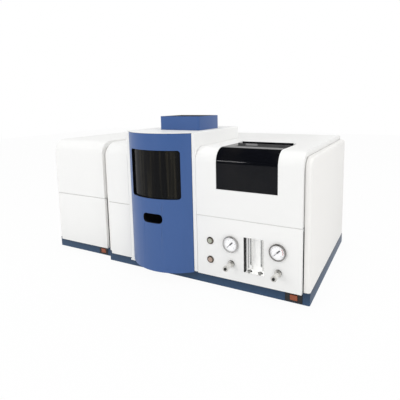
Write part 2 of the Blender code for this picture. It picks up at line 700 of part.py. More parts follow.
# Pressure gauges: a cup through the panel with a bezel in front, and a needle on the dial
def pressure_gauge(name, offset):
    x = block_right_start + offset
    panel_hole(x, GAUGE_Z, GAUGE_BARREL_RADIUS)
    height = GAUGE_BEZEL_HEIGHT
    cup = [(0, -GAUGE_BARREL_LENGTH), (GAUGE_BARREL_RADIUS, -GAUGE_BARREL_LENGTH),
           (GAUGE_BARREL_RADIUS, FIT_GAP), (GAUGE_RADIUS, FIT_GAP),
           (GAUGE_RADIUS, height - GAUGE_BEZEL_CHAMFER), (GAUGE_RADIUS - GAUGE_BEZEL_CHAMFER, height),
           (GAUGE_BEZEL_INNER, height), (GAUGE_BEZEL_INNER, height - GAUGE_DIAL_DEPTH),
           (0, height - GAUGE_DIAL_DEPTH)]
    piece(name, turned(cup, (x, panel_front, GAUGE_Z), (0, -1, 0), 2 * ROUND), dial_face)
    dial_y = panel_front - height + GAUGE_DIAL_DEPTH
    near = dial_y - FIT_GAP
    far = near - NEEDLE_THICKNESS
    half = NEEDLE_WIDTH / 2
    pointer = [(x - half, GAUGE_Z - NEEDLE_TAIL), (x + half, GAUGE_Z - NEEDLE_TAIL),
               (x + half, GAUGE_Z), (x + half / 3, GAUGE_Z + NEEDLE_LENGTH),
               (x - half / 3, GAUGE_Z + NEEDLE_LENGTH), (x - half, GAUGE_Z)]
    needle = prism(pointer, "Y", far, near)
    bmesh.ops.rotate(needle, verts=needle.verts, cent=(x, dial_y, GAUGE_Z),
                     matrix=Matrix.Rotation(NEEDLE_REST, 3, "Y"))
    made = piece(f"{name}_needle", needle, black_plastic, (x, dial_y, GAUGE_Z))
    join(made, cylinder(NEEDLE_HUB_RADIUS, (x, near, GAUGE_Z), (0, -1, 0), 2 * NEEDLE_THICKNESS,
                        ROUND // 2))


pressure_gauge("air_gauge", GAUGE_LEFT_X)
pressure_gauge("fuel_gauge", GAUGE_RIGHT_X)

# Twin flowmeter: a clear block behind a window in the panel, bored for two floats
flow_left = block_right_start + FLOW_LEFT
flow_right = flow_left + FLOW_WIDTH
flow_top = FLOW_BOTTOM + FLOW_HEIGHT
cut(control_panel, box(flow_left, flow_right, panel_front - OVERRUN, panel_front + PANEL_PROUD,
                       FLOW_BOTTOM, flow_top))
block_front = panel_front + SHEET + FIT_GAP
block_back = block_front + FLOW_BLOCK_DEPTH
block_low = FLOW_BOTTOM - FLOW_BLOCK_LAP
block_high = flow_top + FLOW_BLOCK_LAP
flowmeter = piece("flowmeter_block",
                  box(flow_left + FLOW_BLOCK_LEFT_GAP, flow_right + FLOW_BLOCK_LAP, block_front,
                      block_back, block_low, block_high), clear_acrylic)
tube_y = block_front + FLOW_BLOCK_DEPTH / 2
for side, offset in (("left", FLOW_TUBE_LEFT), ("right", FLOW_TUBE_RIGHT)):
    tube_x = block_right_start + offset
    cut(flowmeter, cylinder(FLOW_BORE_RADIUS, (tube_x, tube_y, FLOW_BORE_BOTTOM), (0, 0, 1),
                            block_high - FLOW_BORE_BOTTOM + OVERRUN))
    float_shape = [(0, 0), (FLOAT_TIP_RADIUS, 0), (FLOAT_RADIUS, FLOAT_HEIGHT * FLOAT_WAIST_SHARE),
                   (FLOAT_RADIUS, FLOAT_HEIGHT), (0, FLOAT_HEIGHT)]
    float_seat = (tube_x, tube_y, FLOW_BORE_BOTTOM + FIT_GAP)
    piece(f"flowmeter_float_{side}", turned(float_shape, float_seat, (0, 0, 1), ROUND // 2),
          red_plastic, float_seat)
    cut(flowmeter, cylinder(FLOW_KNOB_STEM_RADIUS + FIT_GAP, (tube_x, block_front - OVERRUN,
                            FLOW_KNOB_Z), (0, 1, 0), OVERRUN + FLOW_KNOB_STEM_LENGTH + FIT_GAP,
                            ROUND // 2))
    knob_shape = [(0, -FLOW_KNOB_STEM_LENGTH), (FLOW_KNOB_STEM_RADIUS, -FLOW_KNOB_STEM_LENGTH),
                  (FLOW_KNOB_STEM_RADIUS, FIT_GAP), (FLOW_KNOB_RADIUS, FIT_GAP),
                  (FLOW_KNOB_RADIUS, FLOW_KNOB_LENGTH - RUNNING_GAP),
                  (FLOW_KNOB_RADIUS - RUNNING_GAP, FLOW_KNOB_LENGTH), (0, FLOW_KNOB_LENGTH)]
    knob_seat = (tube_x, block_front, FLOW_KNOB_Z)
    piece(f"flowmeter_knob_{side}", turned(knob_shape, knob_seat, (0, -1, 0), ROUND // 2),
          black_plastic, knob_seat)


# Regulator knobs: a chromed handle on a stem through the panel, grooved for the fingers
def grooved_outline(x, z, radius, groove, ribs):
    points = []
    for step in range(2 * ribs):
        reach = radius if step % 2 else radius - groove
        angle = math.pi * step / ribs
        points.append((x + reach * math.cos(angle), z + reach * math.sin(angle)))
    return points


def regulator_knob(name, offset):
    x = block_right_start + offset
    panel_hole(x, REGULATOR_Z, REGULATOR_STEM_RADIUS)
    neck_start = FIT_GAP + REGULATOR_COLLAR_LENGTH
    knob_start = neck_start + REGULATOR_NECK_LENGTH
    stem_shape = [(0, -REGULATOR_STEM_LENGTH), (REGULATOR_STEM_RADIUS, -REGULATOR_STEM_LENGTH),
                  (REGULATOR_STEM_RADIUS, FIT_GAP), (REGULATOR_COLLAR_RADIUS, FIT_GAP),
                  (REGULATOR_COLLAR_RADIUS, neck_start), (REGULATOR_NECK_RADIUS, neck_start),
                  (REGULATOR_NECK_RADIUS, knob_start + RUNNING_GAP), (0, knob_start + RUNNING_GAP)]
    seat = (x, panel_front, REGULATOR_Z)
    made = piece(name, turned(stem_shape, seat, (0, -1, 0)), chrome, seat)
    knob_end = REGULATOR_REACH - REGULATOR_END_LENGTH
    join(made, prism(grooved_outline(x, REGULATOR_Z, REGULATOR_KNOB_RADIUS, REGULATOR_KNOB_GROOVE,
                                     ROUND // 2), "Y", panel_front - knob_end,
                     panel_front - knob_start))
    join(made, cylinder(REGULATOR_END_RADIUS, (x, panel_front - knob_end + RUNNING_GAP, REGULATOR_Z),
                        (0, -1, 0), REGULATOR_END_LENGTH + RUNNING_GAP, ROUND // 2))


regulator_knob("air_regulator_knob", REGULATOR_LEFT_X)
regulator_knob("fuel_regulator_knob", REGULATOR_RIGHT_X)

# Burner column: floor, two thick side walls and a rear wall, open in front and above
shell = box(column_left, column_right, panel_front, column_rear, base_top + FIT_GAP, COLUMN_HEIGHT)
soften(shell, COLUMN_EDGE_RADIUS, 3,
       lambda a, b: min(a.z, b.z) > COLUMN_HEIGHT - WELD and abs(a.x - b.x) < WELD)
column = piece("column_housing", shell, white_paint)
cut(column, box(column_x - door_half, column_x + door_half, panel_front - OVERRUN,
                column_rear - COLUMN_REAR_WALL, floor_top, COLUMN_HEIGHT + OVERRUN))
cut(column, box(column_x - door_half, column_x + door_half, panel_front - OVERRUN,
                panel_front + COLUMN_FLOOR_SETBACK, base_top, floor_top + OVERRUN))
seat_half = door_half + CAP_LEDGE
cut(column, box(column_x - seat_half, column_x + seat_half, panel_front - OVERRUN,
                column_rear + OVERRUN, cap_bottom - FIT_GAP, COLUMN_HEIGHT + OVERRUN))
cut(column, cylinder(PORT_RADIUS, port_start, (1, 0, 0), port_length))
ear_top = DOOR_BOTTOM - FIT_GAP
ear_low = ear_top - LUG_THICKNESS
join(column, box(column_left, column_x - door_half, panel_front, base_front - FIT_GAP, ear_low,
                 base_top + PANEL_LAP))
join(column, box(column_left, hinge_x + HINGE_EAR, hinge_y - HINGE_EAR, base_front - FIT_GAP,
                 ear_low, ear_top))
cut(column, cylinder(HINGE_BORE_RADIUS, (hinge_x, hinge_y, ear_low - OVERRUN), (0, 0, 1),
                     LUG_THICKNESS + 2 * OVERRUN, ROUND // 2))

# Column cap: a flat plate with a bowed nose over the door, holed for the chimney
cap_half = door_half - FIT_GAP
cap_spread = math.degrees(math.asin(cap_half / door_radius))
cap_side = seat_half - FIT_GAP
cap_outline = arc(column_x, door_arc_y, door_radius, 270 - cap_spread, 270 + cap_spread, 3 * FINE_ARC)
cap_outline += [(column_x + cap_side, panel_front), (column_x + cap_side, column_rear),
                (column_x - cap_side, column_rear), (column_x - cap_side, panel_front)]
cap = piece("column_cap", prism(cap_outline, "Z", cap_bottom, COLUMN_HEIGHT), white_paint)
inner_x = chimney_half - CHIMNEY_WALL
inner_y = CHIMNEY_DEPTH / 2 - CHIMNEY_WALL
duct = rounded_outline(burner_x - inner_x, burner_x + inner_x, beam_y - inner_y, beam_y + inner_y,
                       CHIMNEY_CORNER - CHIMNEY_WALL)
cut(cap, prism(duct, "Z", cap_bottom - OVERRUN, COLUMN_HEIGHT + OVERRUN))
cut(cap, cylinder(HINGE_BORE_RADIUS, (hinge_x, hinge_y, cap_bottom - OVERRUN), (0, 0, 1),
                  OVERRUN + ROD_SEAT_DEPTH, ROUND // 2))

# Chimney: a short open duct of sheet steel that stands on the cap
chimney_foot = COLUMN_HEIGHT + FIT_GAP
chimney = piece("chimney", prism(rounded_outline(burner_x - chimney_half, burner_x + chimney_half,
                                                 beam_y - CHIMNEY_DEPTH / 2,
                                                 beam_y + CHIMNEY_DEPTH / 2, CHIMNEY_CORNER),
                                 "Z", chimney_foot, COLUMN_HEIGHT + CHIMNEY_HEIGHT), blue_paint)
cut(chimney, prism(duct, "Z", chimney_foot - OVERRUN, COLUMN_HEIGHT + CHIMNEY_HEIGHT + OVERRUN))


# Burner door: a bowed moulding, bored for the hinge rod down its left edge, with window and slot
def bowed_outline(outer, inner, half_angle, steps):
    spread = math.degrees(half_angle)
    return (arc(column_x, door_arc_y, outer, 270 - spread, 270 + spread, steps)
            + arc(column_x, door_arc_y, inner, 270 + spread, 270 - spread, steps))


hinge = (hinge_x, hinge_y, DOOR_BOTTOM)
door_inner = door_radius - DOOR_THICKNESS
trim = math.asin(RUNNING_GAP / door_radius)
door = piece("burner_door", prism(bowed_outline(door_radius, door_inner, door_angle - trim,
                                                3 * FINE_ARC), "Z", DOOR_BOTTOM, door_top),
             blue_paint, hinge)
cut(door, cylinder(HINGE_BORE_RADIUS, (hinge_x, hinge_y, DOOR_BOTTOM - OVERRUN), (0, 0, 1),
                   door_top - DOOR_BOTTOM + 2 * OVERRUN, ROUND // 2))


def front_hole(half_width, low, high, corner, inset):
    """A rounded opening seen from the front, as a long bar along Y."""
    outline = rounded_outline(column_x - half_width + inset, column_x + half_width - inset,
                              low + inset, high - inset, corner - inset)
    return prism(outline, "Y", panel_front - DOOR_SAGITTA - OVERRUN, base_front)


window_half = door_half - WINDOW_SIDE_MARGIN
cut(door, front_hole(window_half, WINDOW_LOW, WINDOW_HIGH, WINDOW_CORNER, 0))
cut(door, front_hole(SLOT_WIDTH / 2, SLOT_MIDDLE - SLOT_HEIGHT / 2, SLOT_MIDDLE + SLOT_HEIGHT / 2,
                     SLOT_CORNER, 0))
piece("door_hinge_rod", cylinder(HINGE_ROD_RADIUS, (hinge_x, hinge_y, ear_low), (0, 0, 1),
                                 cap_bottom + ROD_SEAT_DEPTH - FIT_GAP - ear_low, ROUND // 2), steel)

# Door window: a bowed smoked pane that fills the door's opening, flush with its inside
pane_outer = door_radius - PANE_RECESS
pane = piece("door_window", prism(bowed_outline(pane_outer, pane_outer - PANE_THICKNESS, door_angle,
                                                3 * FINE_ARC), "Z", DOOR_BOTTOM, door_top),
             smoked_acrylic, hinge)
tool(pane, front_hole(window_half, WINDOW_LOW, WINDOW_HIGH, WINDOW_CORNER, FIT_GAP), "INTERSECT")

# Drip tray: a shallow tray that lies on the column's floor under the burner
tray_back = beam_y + POST_SETBACK - GEARBOX_DEPTH / 2 - RUNNING_GAP
tray_half = door_half - CHIMNEY_OFFSET - TRAY_SIDE_GAP
tray_left = burner_x - tray_half
tray_right = burner_x + tray_half
tray_floor = floor_top + FIT_GAP
tray = piece("drip_tray", box(tray_left, tray_right, tray_back - TRAY_DEPTH, tray_back,
                              tray_floor, tray_floor + TRAY_HEIGHT), steel)
cut(tray, box(tray_left + TRAY_WALL, tray_right - TRAY_WALL,
              tray_back - TRAY_DEPTH + TRAY_WALL, tray_back - TRAY_WALL,
              tray_floor + TRAY_WALL, tray_floor + TRAY_HEIGHT + OVERRUN))

# Burner lift: a guide post on a gearbox, a carriage that slides on it, and the height knob
post_y = beam_y + POST_SETBACK
post_top = chamber_z + CARRIAGE_HEIGHT / 2 + POST_RISE
gearbox_left = burner_x - GEARBOX_WIDTH / 2 + GEARBOX_SHIFT
post = piece("burner_lift_post", cylinder(POST_RADIUS, (burner_x, post_y, floor_top + FIT_GAP),
                                          (0, 0, 1), post_top - floor_top), steel)
join(post, box(gearbox_left, gearbox_left + GEARBOX_WIDTH, post_y - GEARBOX_DEPTH / 2,
               post_y + GEARBOX_DEPTH / 2, floor_top + FIT_GAP, floor_top + GEARBOX_HEIGHT))
knob_x = burner_x + LIFT_KNOB_OFFSET
knob_z = floor_top + LIFT_KNOB_HEIGHT
shaft_back = post_y - GEARBOX_DEPTH / 2 + LIFT_SHAFT_ENTRY
cut(post, cylinder(LIFT_SHAFT_RADIUS + FIT_GAP, (knob_x, shaft_back + FIT_GAP, knob_z), (0, -1, 0),
                   LIFT_SHAFT_ENTRY + OVERRUN, ROUND // 2))
shaft_front = shaft_back - LIFT_SHAFT_LENGTH
height_knob = piece("burner_height_knob", cylinder(LIFT_SHAFT_RADIUS, (knob_x, shaft_back, knob_z),
                                                   (0, -1, 0), LIFT_SHAFT_LENGTH, ROUND // 2),
                    black_plastic, (knob_x, shaft_front, knob_z))
join(height_knob, prism(grooved_outline(knob_x, knob_z, LIFT_KNOB_RADIUS, REGULATOR_KNOB_GROOVE,
                                        ROUND // 2), "Y", shaft_front - LIFT_KNOB_LENGTH,
                        shaft_front + RUNNING_GAP))
carriage_low = chamber_z - CARRIAGE_HEIGHT / 2
carriage = piece("burner_carriage", box(burner_x - CARRIAGE_WIDTH / 2, burner_x + CARRIAGE_WIDTH / 2,
                                        post_y - CARRIAGE_DEPTH / 2, post_y + CARRIAGE_DEPTH / 2,
                                        carriage_low, carriage_low + CARRIAGE_HEIGHT), cast_grey,
                 (burner_x, post_y, chamber_z))
chamber_back = beam_y + CHAMBER_REAR
join(carriage, box(burner_x - CARRIAGE_ARM_WIDTH / 2, burner_x + CARRIAGE_ARM_WIDTH / 2,
                   chamber_back + FIT_GAP, post_y, chamber_z - CARRIAGE_ARM_HEIGHT / 2,
                   chamber_z + CARRIAGE_ARM_HEIGHT / 2))
cut(carriage, cylinder(POST_RADIUS + FIT_GAP, (burner_x, post_y, carriage_low - OVERRUN), (0, 0, 1),
                       CARRIAGE_HEIGHT + 2 * OVERRUN))

# Mixing chamber: a polymer barrel with end flanges, a socket for the burner and a drain below
chamber_nose = beam_y - CHAMBER_FRONT
chamber_span = CHAMBER_FRONT + CHAMBER_REAR
barrel_shape = [(0, 0), (CHAMBER_FLANGE_RADIUS, 0), (CHAMBER_FLANGE_RADIUS, CHAMBER_FLANGE_LENGTH),
                (CHAMBER_RADIUS, CHAMBER_FLANGE_LENGTH),
                (CHAMBER_RADIUS, chamber_span - CHAMBER_FLANGE_LENGTH),
                (CHAMBER_FLANGE_RADIUS, chamber_span - CHAMBER_FLANGE_LENGTH),
                (CHAMBER_FLANGE_RADIUS, chamber_span), (0, chamber_span)]
chamber = piece("mixing_chamber", turned(barrel_shape, (burner_x, chamber_nose, chamber_z),
                                         (0, 1, 0)), chamber_polymer,
                (burner_x, beam_y, chamber_z))
socket_top = burner_base - FIT_GAP
socket_radius = BURNER_NECK_RADIUS + SOCKET_WALL
join(chamber, cylinder(socket_radius, (burner_x, beam_y, chamber_z), (0, 0, 1),
                       socket_top - chamber_z))
neck_foot = burner_base - BURNER_NECK_LENGTH
cut(chamber, cylinder(BURNER_NECK_RADIUS + FIT_GAP, (burner_x, beam_y, neck_foot - FIT_GAP),
                      (0, 0, 1), socket_top - neck_foot + OVERRUN))
join(chamber, cylinder(DRAIN_RADIUS, (burner_x, beam_y, chamber_z), (0, 0, -1), DRAIN_LENGTH,
                       ROUND // 2))

# Nebuliser: a turned fitting in the chamber's front end, with the sample capillary at its tip
nebuliser_shape = [(0, 0), (NEBULISER_RADIUS, 0), (NEBULISER_RADIUS, NEBULISER_LENGTH / 3),
                   (NEBULISER_RADIUS * NEBULISER_WAIST_SHARE, NEBULISER_LENGTH / 3),
                   (NEBULISER_RADIUS * NEBULISER_WAIST_SHARE, NEBULISER_LENGTH * 2 / 3),
                   (CAPILLARY_RADIUS, NEBULISER_LENGTH * 2 / 3), (CAPILLARY_RADIUS, NEBULISER_LENGTH),
                   (0, NEBULISER_LENGTH)]
piece("nebuliser", turned(nebuliser_shape, (burner_x, chamber_nose - FIT_GAP, chamber_z), (0, -1, 0)),
      steel)

# Burner head: a long slotted titanium bar on a round neck that turns in the chamber's socket
half = BURNER_WIDTH / 2
top_half = BURNER_TOP_WIDTH / 2
shoulder = burner_base + BURNER_SHOULDER
bar_shape = [(beam_y - half, burner_base), (beam_y + half, burner_base), (beam_y + half, shoulder),
             (beam_y + top_half, burner_top), (beam_y - top_half, burner_top),
             (beam_y - half, shoulder)]
burner = piece("burner_head", prism(bar_shape, "X", burner_x - BURNER_LENGTH / 2,
                                    burner_x + BURNER_LENGTH / 2), titanium,
               (burner_x, beam_y, burner_base))
join(burner, cylinder(BURNER_NECK_RADIUS, (burner_x, beam_y, neck_foot), (0, 0, 1),
                      BURNER_NECK_LENGTH + RUNNING_GAP))
cut(burner, box(burner_x - BURNER_SLOT_LENGTH / 2, burner_x + BURNER_SLOT_LENGTH / 2,
                beam_y - BURNER_SLOT_WIDTH / 2, beam_y + BURNER_SLOT_WIDTH / 2,
                burner_top - BURNER_SLOT_DEPTH, burner_top + OVERRUN))

# Optical bench: the thick plate across the right block that carries the hood and the lamps
piece("optical_bench", box(block_right_start + FIT_GAP - RUNNING_GAP,
                           main_right - SIDE_THICKNESS - FIT_GAP, panel_front + BENCH_SETBACK,
                           column_rear, bench_top - BENCH_THICKNESS, bench_top), cast_grey)

# Lamp turret: two drilled discs on a shaft, carried by a stand and loaded with cathode lamps
turret_z = BEAM_HEIGHT - TURRET_PITCH_RADIUS
turret_x = block_right_start + TURRET_LEFT
disc_starts = (turret_x, turret_x + TURRET_DISC_THICKNESS + TURRET_DISC_SPACING)
turret_span = disc_starts[1] + TURRET_DISC_THICKNESS - turret_x
turret = piece("lamp_turret", cylinder(TURRET_HUB_RADIUS, (turret_x, beam_y, turret_z), (1, 0, 0),
                                       turret_span), cast_grey, (turret_x, beam_y, turret_z))
join(turret, cylinder(TURRET_SHAFT_RADIUS, (turret_x, beam_y, turret_z), (1, 0, 0),
                      turret_span + TURRET_SHAFT_END, ROUND // 2))
disc_radius = TURRET_PITCH_RADIUS + LAMP_RADIUS + TURRET_RIM
for start in disc_starts:
    join(turret, cylinder(disc_radius, (start, beam_y, turret_z), (1, 0, 0),
                          TURRET_DISC_THICKNESS, 2 * ROUND))
lamp_front = turret_x - LAMP_PROJECTION
glass_end = LAMP_NECK_LENGTH + LAMP_GLASS_LENGTH
lamp_end = glass_end + LAMP_BASE_LENGTH
for number in range(LAMP_COUNT):
    angle = math.tau * number / LAMP_COUNT
    lamp_y = beam_y + TURRET_PITCH_RADIUS * math.sin(angle)
    lamp_z = turret_z + TURRET_PITCH_RADIUS * math.cos(angle)
    for start in disc_starts:
        cut(turret, cylinder(LAMP_RADIUS + FIT_GAP, (start - OVERRUN, lamp_y, lamp_z), (1, 0, 0),
                             TURRET_DISC_THICKNESS + 2 * OVERRUN))
    lamp_shape = [(0, 0), (LAMP_NECK_RADIUS, 0), (LAMP_NECK_RADIUS, LAMP_NECK_LENGTH),
                  (LAMP_RADIUS, LAMP_NECK_LENGTH + LAMP_RADIUS - LAMP_NECK_RADIUS),
                  (LAMP_RADIUS, lamp_end), (LAMP_PIN_RADIUS, lamp_end),
                  (LAMP_PIN_RADIUS, lamp_end + LAMP_PIN_LENGTH), (0, lamp_end + LAMP_PIN_LENGTH)]
    piece(f"hollow_cathode_lamp_{number + 1}", turned(lamp_shape, (lamp_front, lamp_y, lamp_z),
                                                      (1, 0, 0)), lamp_glass,
          (lamp_front, lamp_y, lamp_z))

# Turret stand: an upright plate with a foot, the shaft's bearing and the drive motor behind it
stand_x = lamp_front + lamp_end + LAMP_PIN_LENGTH + STAND_GAP
stand_foot = bench_top + FIT_GAP
stand = piece("turret_stand", box(stand_x, stand_x + STAND_PLATE, beam_y - STAND_HALF_WIDTH,
                                  beam_y + STAND_HALF_WIDTH, stand_foot, turret_z + STAND_HEAD),
              cast_grey)
join(stand, box(stand_x, stand_x + STAND_FOOT_LENGTH, beam_y - STAND_HALF_WIDTH,
                beam_y + STAND_HALF_WIDTH, stand_foot, stand_foot + STAND_PLATE))
motor_half = STAND_MOTOR / 2
join(stand, box(stand_x + STAND_PLATE / 2, stand_x + STAND_PLATE / 2 + STAND_MOTOR,
                beam_y - motor_half, beam_y + motor_half, turret_z - motor_half,
                turret_z + motor_half))
cut(stand, cylinder(TURRET_SHAFT_RADIUS + FIT_GAP, (stand_x - OVERRUN, beam_y, turret_z), (1, 0, 0),
                    OVERRUN + STAND_PLATE + STAND_BEARING_END, ROUND // 2))

# Monochromator: a sealed casting in the left block, with a slit tower up to the light path
mono_left = main_left + SIDE_THICKNESS + FIT_GAP
mono = piece("monochromator_housing", box(mono_left, column_left - FIT_GAP,
                                          base_front + MONO_FRONT_GAP, rear - MONO_REAR_GAP,
                                          base_top + FIT_GAP, bench_top), cast_grey)
tower_right = block_left_end - HOOD_WALL - MONO_TOWER_MARGIN
join(mono, box(block_left + HOOD_WALL + MONO_TOWER_MARGIN, tower_right,
               beam_y - MONO_TOWER_LENGTH / 2, beam_y + MONO_TOWER_LENGTH / 2,
               bench_top - MONO_TOWER_MARGIN, BEAM_HEIGHT + MONO_TOWER_RISE))
cut(mono, cylinder(MONO_PORT_RADIUS, (tower_right + OVERRUN, beam_y, BEAM_HEIGHT), (-1, 0, 0),
                   OVERRUN + MONO_PORT_DEPTH))

# Rear top cover: a folded lid behind the hoods, resting on the rear panel
cover_front = column_rear + SEAM_WIDTH
cover_under = HOOD_HEIGHT - COVER_THICKNESS
cover_low = HOOD_HEIGHT - COVER_FLANGE
rear_inner = rear - REAR_SHEET - FIT_GAP
cover = piece("rear_top_cover", box(block_left, block_right, cover_front, rear, cover_low,
                                    HOOD_HEIGHT), white_paint)
cut(cover, box(block_left + COVER_THICKNESS, block_right - COVER_THICKNESS, cover_front - OVERRUN,
               rear + OVERRUN, cover_low - OVERRUN, cover_under))
cut(cover, box(block_left - OVERRUN, block_right + OVERRUN, rear_inner, rear + OVERRUN,
               cover_low - OVERRUN, cover_under))


# Rear panels: flat sheets with rows of vent slots
def rear_panel(name, left, right, top, vent_middles):
    sheet = piece(name, box(left, right, rear - REAR_SHEET, rear, base_top + FIT_GAP, top),
                  white_paint)
    for middle in vent_middles:
        for row in range(VENT_COUNT):
            low = VENT_LOW + row * VENT_PITCH
            cut(sheet, box(middle - VENT_WIDTH / 2, middle + VENT_WIDTH / 2,
                           rear - REAR_SHEET - OVERRUN, rear + OVERRUN, low, low + VENT_HEIGHT))
    return sheet


main_rear = rear_panel("rear_panel", mono_left, main_right - SIDE_THICKNESS - FIT_GAP,
                       cover_under - FIT_GAP, [main_left + offset for offset in VENT_OFFSETS])
rear_panel("companion_rear_panel", companion_left + SIDE_THICKNESS + FIT_GAP,
           companion_right - SIDE_THICKNESS - FIT_GAP, HOOD_HEIGHT,
           [companion_left + COMPANION_WIDTH / 2])

# Fan: a square frame with struts and a hub behind the rear panel, and a pitched seven-blade rotor
fan_x = main_right - FAN_INSET
fan_z = HOOD_HEIGHT - FAN_BELOW_HOOD
fan_half = FAN_SIZE / 2
fan_start = rear_inner - FAN_DEPTH
cut(main_rear, cylinder(FAN_HOLE_RADIUS, (fan_x, rear_inner - OVERRUN, fan_z), (0, 1, 0),
                        REAR_SHEET + 2 * OVERRUN, 2 * ROUND))
fan = piece("fan_frame", box(fan_x - fan_half, fan_x + fan_half, fan_start, rear_inner,
                             fan_z - fan_half, fan_z + fan_half), black_plastic)
cut(fan, cylinder(FAN_HOLE_RADIUS, (fan_x, fan_start - OVERRUN, fan_z), (0, 1, 0),
                  FAN_DEPTH + 2 * OVERRUN, 2 * ROUND))
strut_end = fan_start + FAN_STRUT
strut_reach = (fan_half + FAN_HOLE_RADIUS) / 2
half_strut = FAN_STRUT / 2
join(fan, box(fan_x - strut_reach, fan_x + strut_reach, fan_start, strut_end, fan_z - half_strut,
              fan_z + half_strut))
join(fan, box(fan_x - half_strut, fan_x + half_strut, fan_start, strut_end, fan_z - strut_reach,
              fan_z + strut_reach))
join(fan, cylinder(FAN_HUB_RADIUS, (fan_x, fan_start, fan_z), (0, 1, 0), FAN_STRUT))
rotor_start = strut_end + FAN_ROTOR_GAP
rotor = piece("fan_rotor", cylinder(FAN_HUB_RADIUS, (fan_x, rotor_start, fan_z), (0, 1, 0),
                                    FAN_HUB_LENGTH), black_plastic, (fan_x, rotor_start, fan_z))
rotor_middle = rotor_start + FAN_HUB_LENGTH / 2
for number in range(FAN_BLADES):
    blade = box(fan_x + FAN_HUB_RADIUS - RUNNING_GAP, fan_x + FAN_BLADE_REACH,
                rotor_middle - FAN_BLADE_THICKNESS / 2, rotor_middle + FAN_BLADE_THICKNESS / 2,
                fan_z - FAN_BLADE_CHORD / 2, fan_z + FAN_BLADE_CHORD / 2)
    hub_middle = (fan_x, rotor_middle, fan_z)
    bmesh.ops.rotate(blade, verts=blade.verts, cent=hub_middle,
                     matrix=Matrix.Rotation(FAN_BLADE_PITCH, 3, "X"))
    bmesh.ops.rotate(blade, verts=blade.verts, cent=hub_middle,
                     matrix=Matrix.Rotation(math.tau * number / FAN_BLADES, 3, "Y"))
    join(rotor, blade)

# Mains inlet: a recessed three-pin socket in the rear panel, flanged on the inside
inlet_x = main_left + INLET_INSET
half_x = INLET_WIDTH / 2
half_z = INLET_HEIGHT / 2
cut(main_rear, box(inlet_x - half_x - FIT_GAP, inlet_x + half_x + FIT_GAP, rear_inner - OVERRUN,
                   rear + OVERRUN, INLET_Z - half_z - FIT_GAP, INLET_Z + half_z + FIT_GAP))
inlet = piece("power_inlet", box(inlet_x - half_x, inlet_x + half_x, rear - INLET_DEPTH, rear,
                                 INLET_Z - half_z, INLET_Z + half_z), black_plastic)
join(inlet, box(inlet_x - half_x - INLET_FLANGE, inlet_x + half_x + INLET_FLANGE,
                rear_inner - INLET_FLANGE_THICKNESS, rear_inner, INLET_Z - half_z - INLET_FLANGE,
                INLET_Z + half_z + INLET_FLANGE))
cut(inlet, box(inlet_x - half_x + INLET_WALL, inlet_x + half_x - INLET_WALL, rear - INLET_RECESS,
               rear + OVERRUN, INLET_Z - half_z + INLET_WALL, INLET_Z + half_z - INLET_WALL))
for step in (-1, 0, 1):
    pin_x = inlet_x + step * INLET_PIN_PITCH
    join(inlet, box(pin_x - INLET_PIN / 4, pin_x + INLET_PIN / 4, rear - INLET_RECESS - INLET_PIN / 2,
                    rear - INLET_PIN, INLET_Z - INLET_PIN, INLET_Z + INLET_PIN))
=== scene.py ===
import math

import bmesh
import bpy
from mathutils import Matrix, Vector
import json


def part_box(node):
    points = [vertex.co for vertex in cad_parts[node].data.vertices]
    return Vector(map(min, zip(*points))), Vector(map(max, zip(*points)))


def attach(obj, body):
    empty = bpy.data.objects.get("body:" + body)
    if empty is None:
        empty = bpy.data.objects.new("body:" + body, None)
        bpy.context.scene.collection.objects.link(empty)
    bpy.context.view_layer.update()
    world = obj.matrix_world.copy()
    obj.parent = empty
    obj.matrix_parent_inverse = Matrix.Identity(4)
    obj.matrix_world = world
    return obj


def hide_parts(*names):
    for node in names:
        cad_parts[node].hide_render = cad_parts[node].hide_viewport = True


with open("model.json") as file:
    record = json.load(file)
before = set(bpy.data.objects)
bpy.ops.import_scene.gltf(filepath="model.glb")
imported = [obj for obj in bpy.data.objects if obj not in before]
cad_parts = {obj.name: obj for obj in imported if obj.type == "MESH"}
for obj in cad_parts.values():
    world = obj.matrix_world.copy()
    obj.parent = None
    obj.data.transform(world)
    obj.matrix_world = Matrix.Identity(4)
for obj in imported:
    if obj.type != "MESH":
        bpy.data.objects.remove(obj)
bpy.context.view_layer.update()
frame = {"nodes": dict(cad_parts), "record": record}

# The camera stands to the right of the instrument and a little above it, as for a catalogue
# picture. Its lens is shifted, because the picture was cropped after it was taken.
CAMERA_PLACE = Vector((1.0288, -1.6738, 0.7945))
CAMERA_TURN = math.radians(26.70)
CAMERA_DIP = math.radians(7.70)
CAMERA_LEAN = math.radians(-0.73)
CAMERA_SENSOR = 36
CAMERA_LENS = 32.874
CAMERA_SHIFT = (-0.0625, -0.11705)


def placed(name, data):
    """A new object of the scene, at the origin."""
    made = bpy.data.objects.new(name, data)
    bpy.context.scene.collection.objects.link(made)
    return made


ahead = Vector((-math.sin(CAMERA_TURN) * math.cos(CAMERA_DIP),
                math.cos(CAMERA_TURN) * math.cos(CAMERA_DIP), -math.sin(CAMERA_DIP)))
level = Vector((math.cos(CAMERA_TURN), math.sin(CAMERA_TURN), 0))
upright = level.cross(ahead)
side = level * math.cos(CAMERA_LEAN) + upright * math.sin(CAMERA_LEAN)
head = upright * math.cos(CAMERA_LEAN) - level * math.sin(CAMERA_LEAN)
facing = Matrix((side, head, -ahead)).transposed().to_4x4()
camera = placed("camera", bpy.data.cameras.new("camera"))
camera.data.sensor_width = CAMERA_SENSOR
camera.data.lens = CAMERA_LENS
camera.data.shift_x, camera.data.shift_y = CAMERA_SHIFT
camera.matrix_world = Matrix.Translation(CAMERA_PLACE) @ facing
bpy.context.scene.camera = camera
bpy.context.scene.view_settings.view_transform = "Standard"

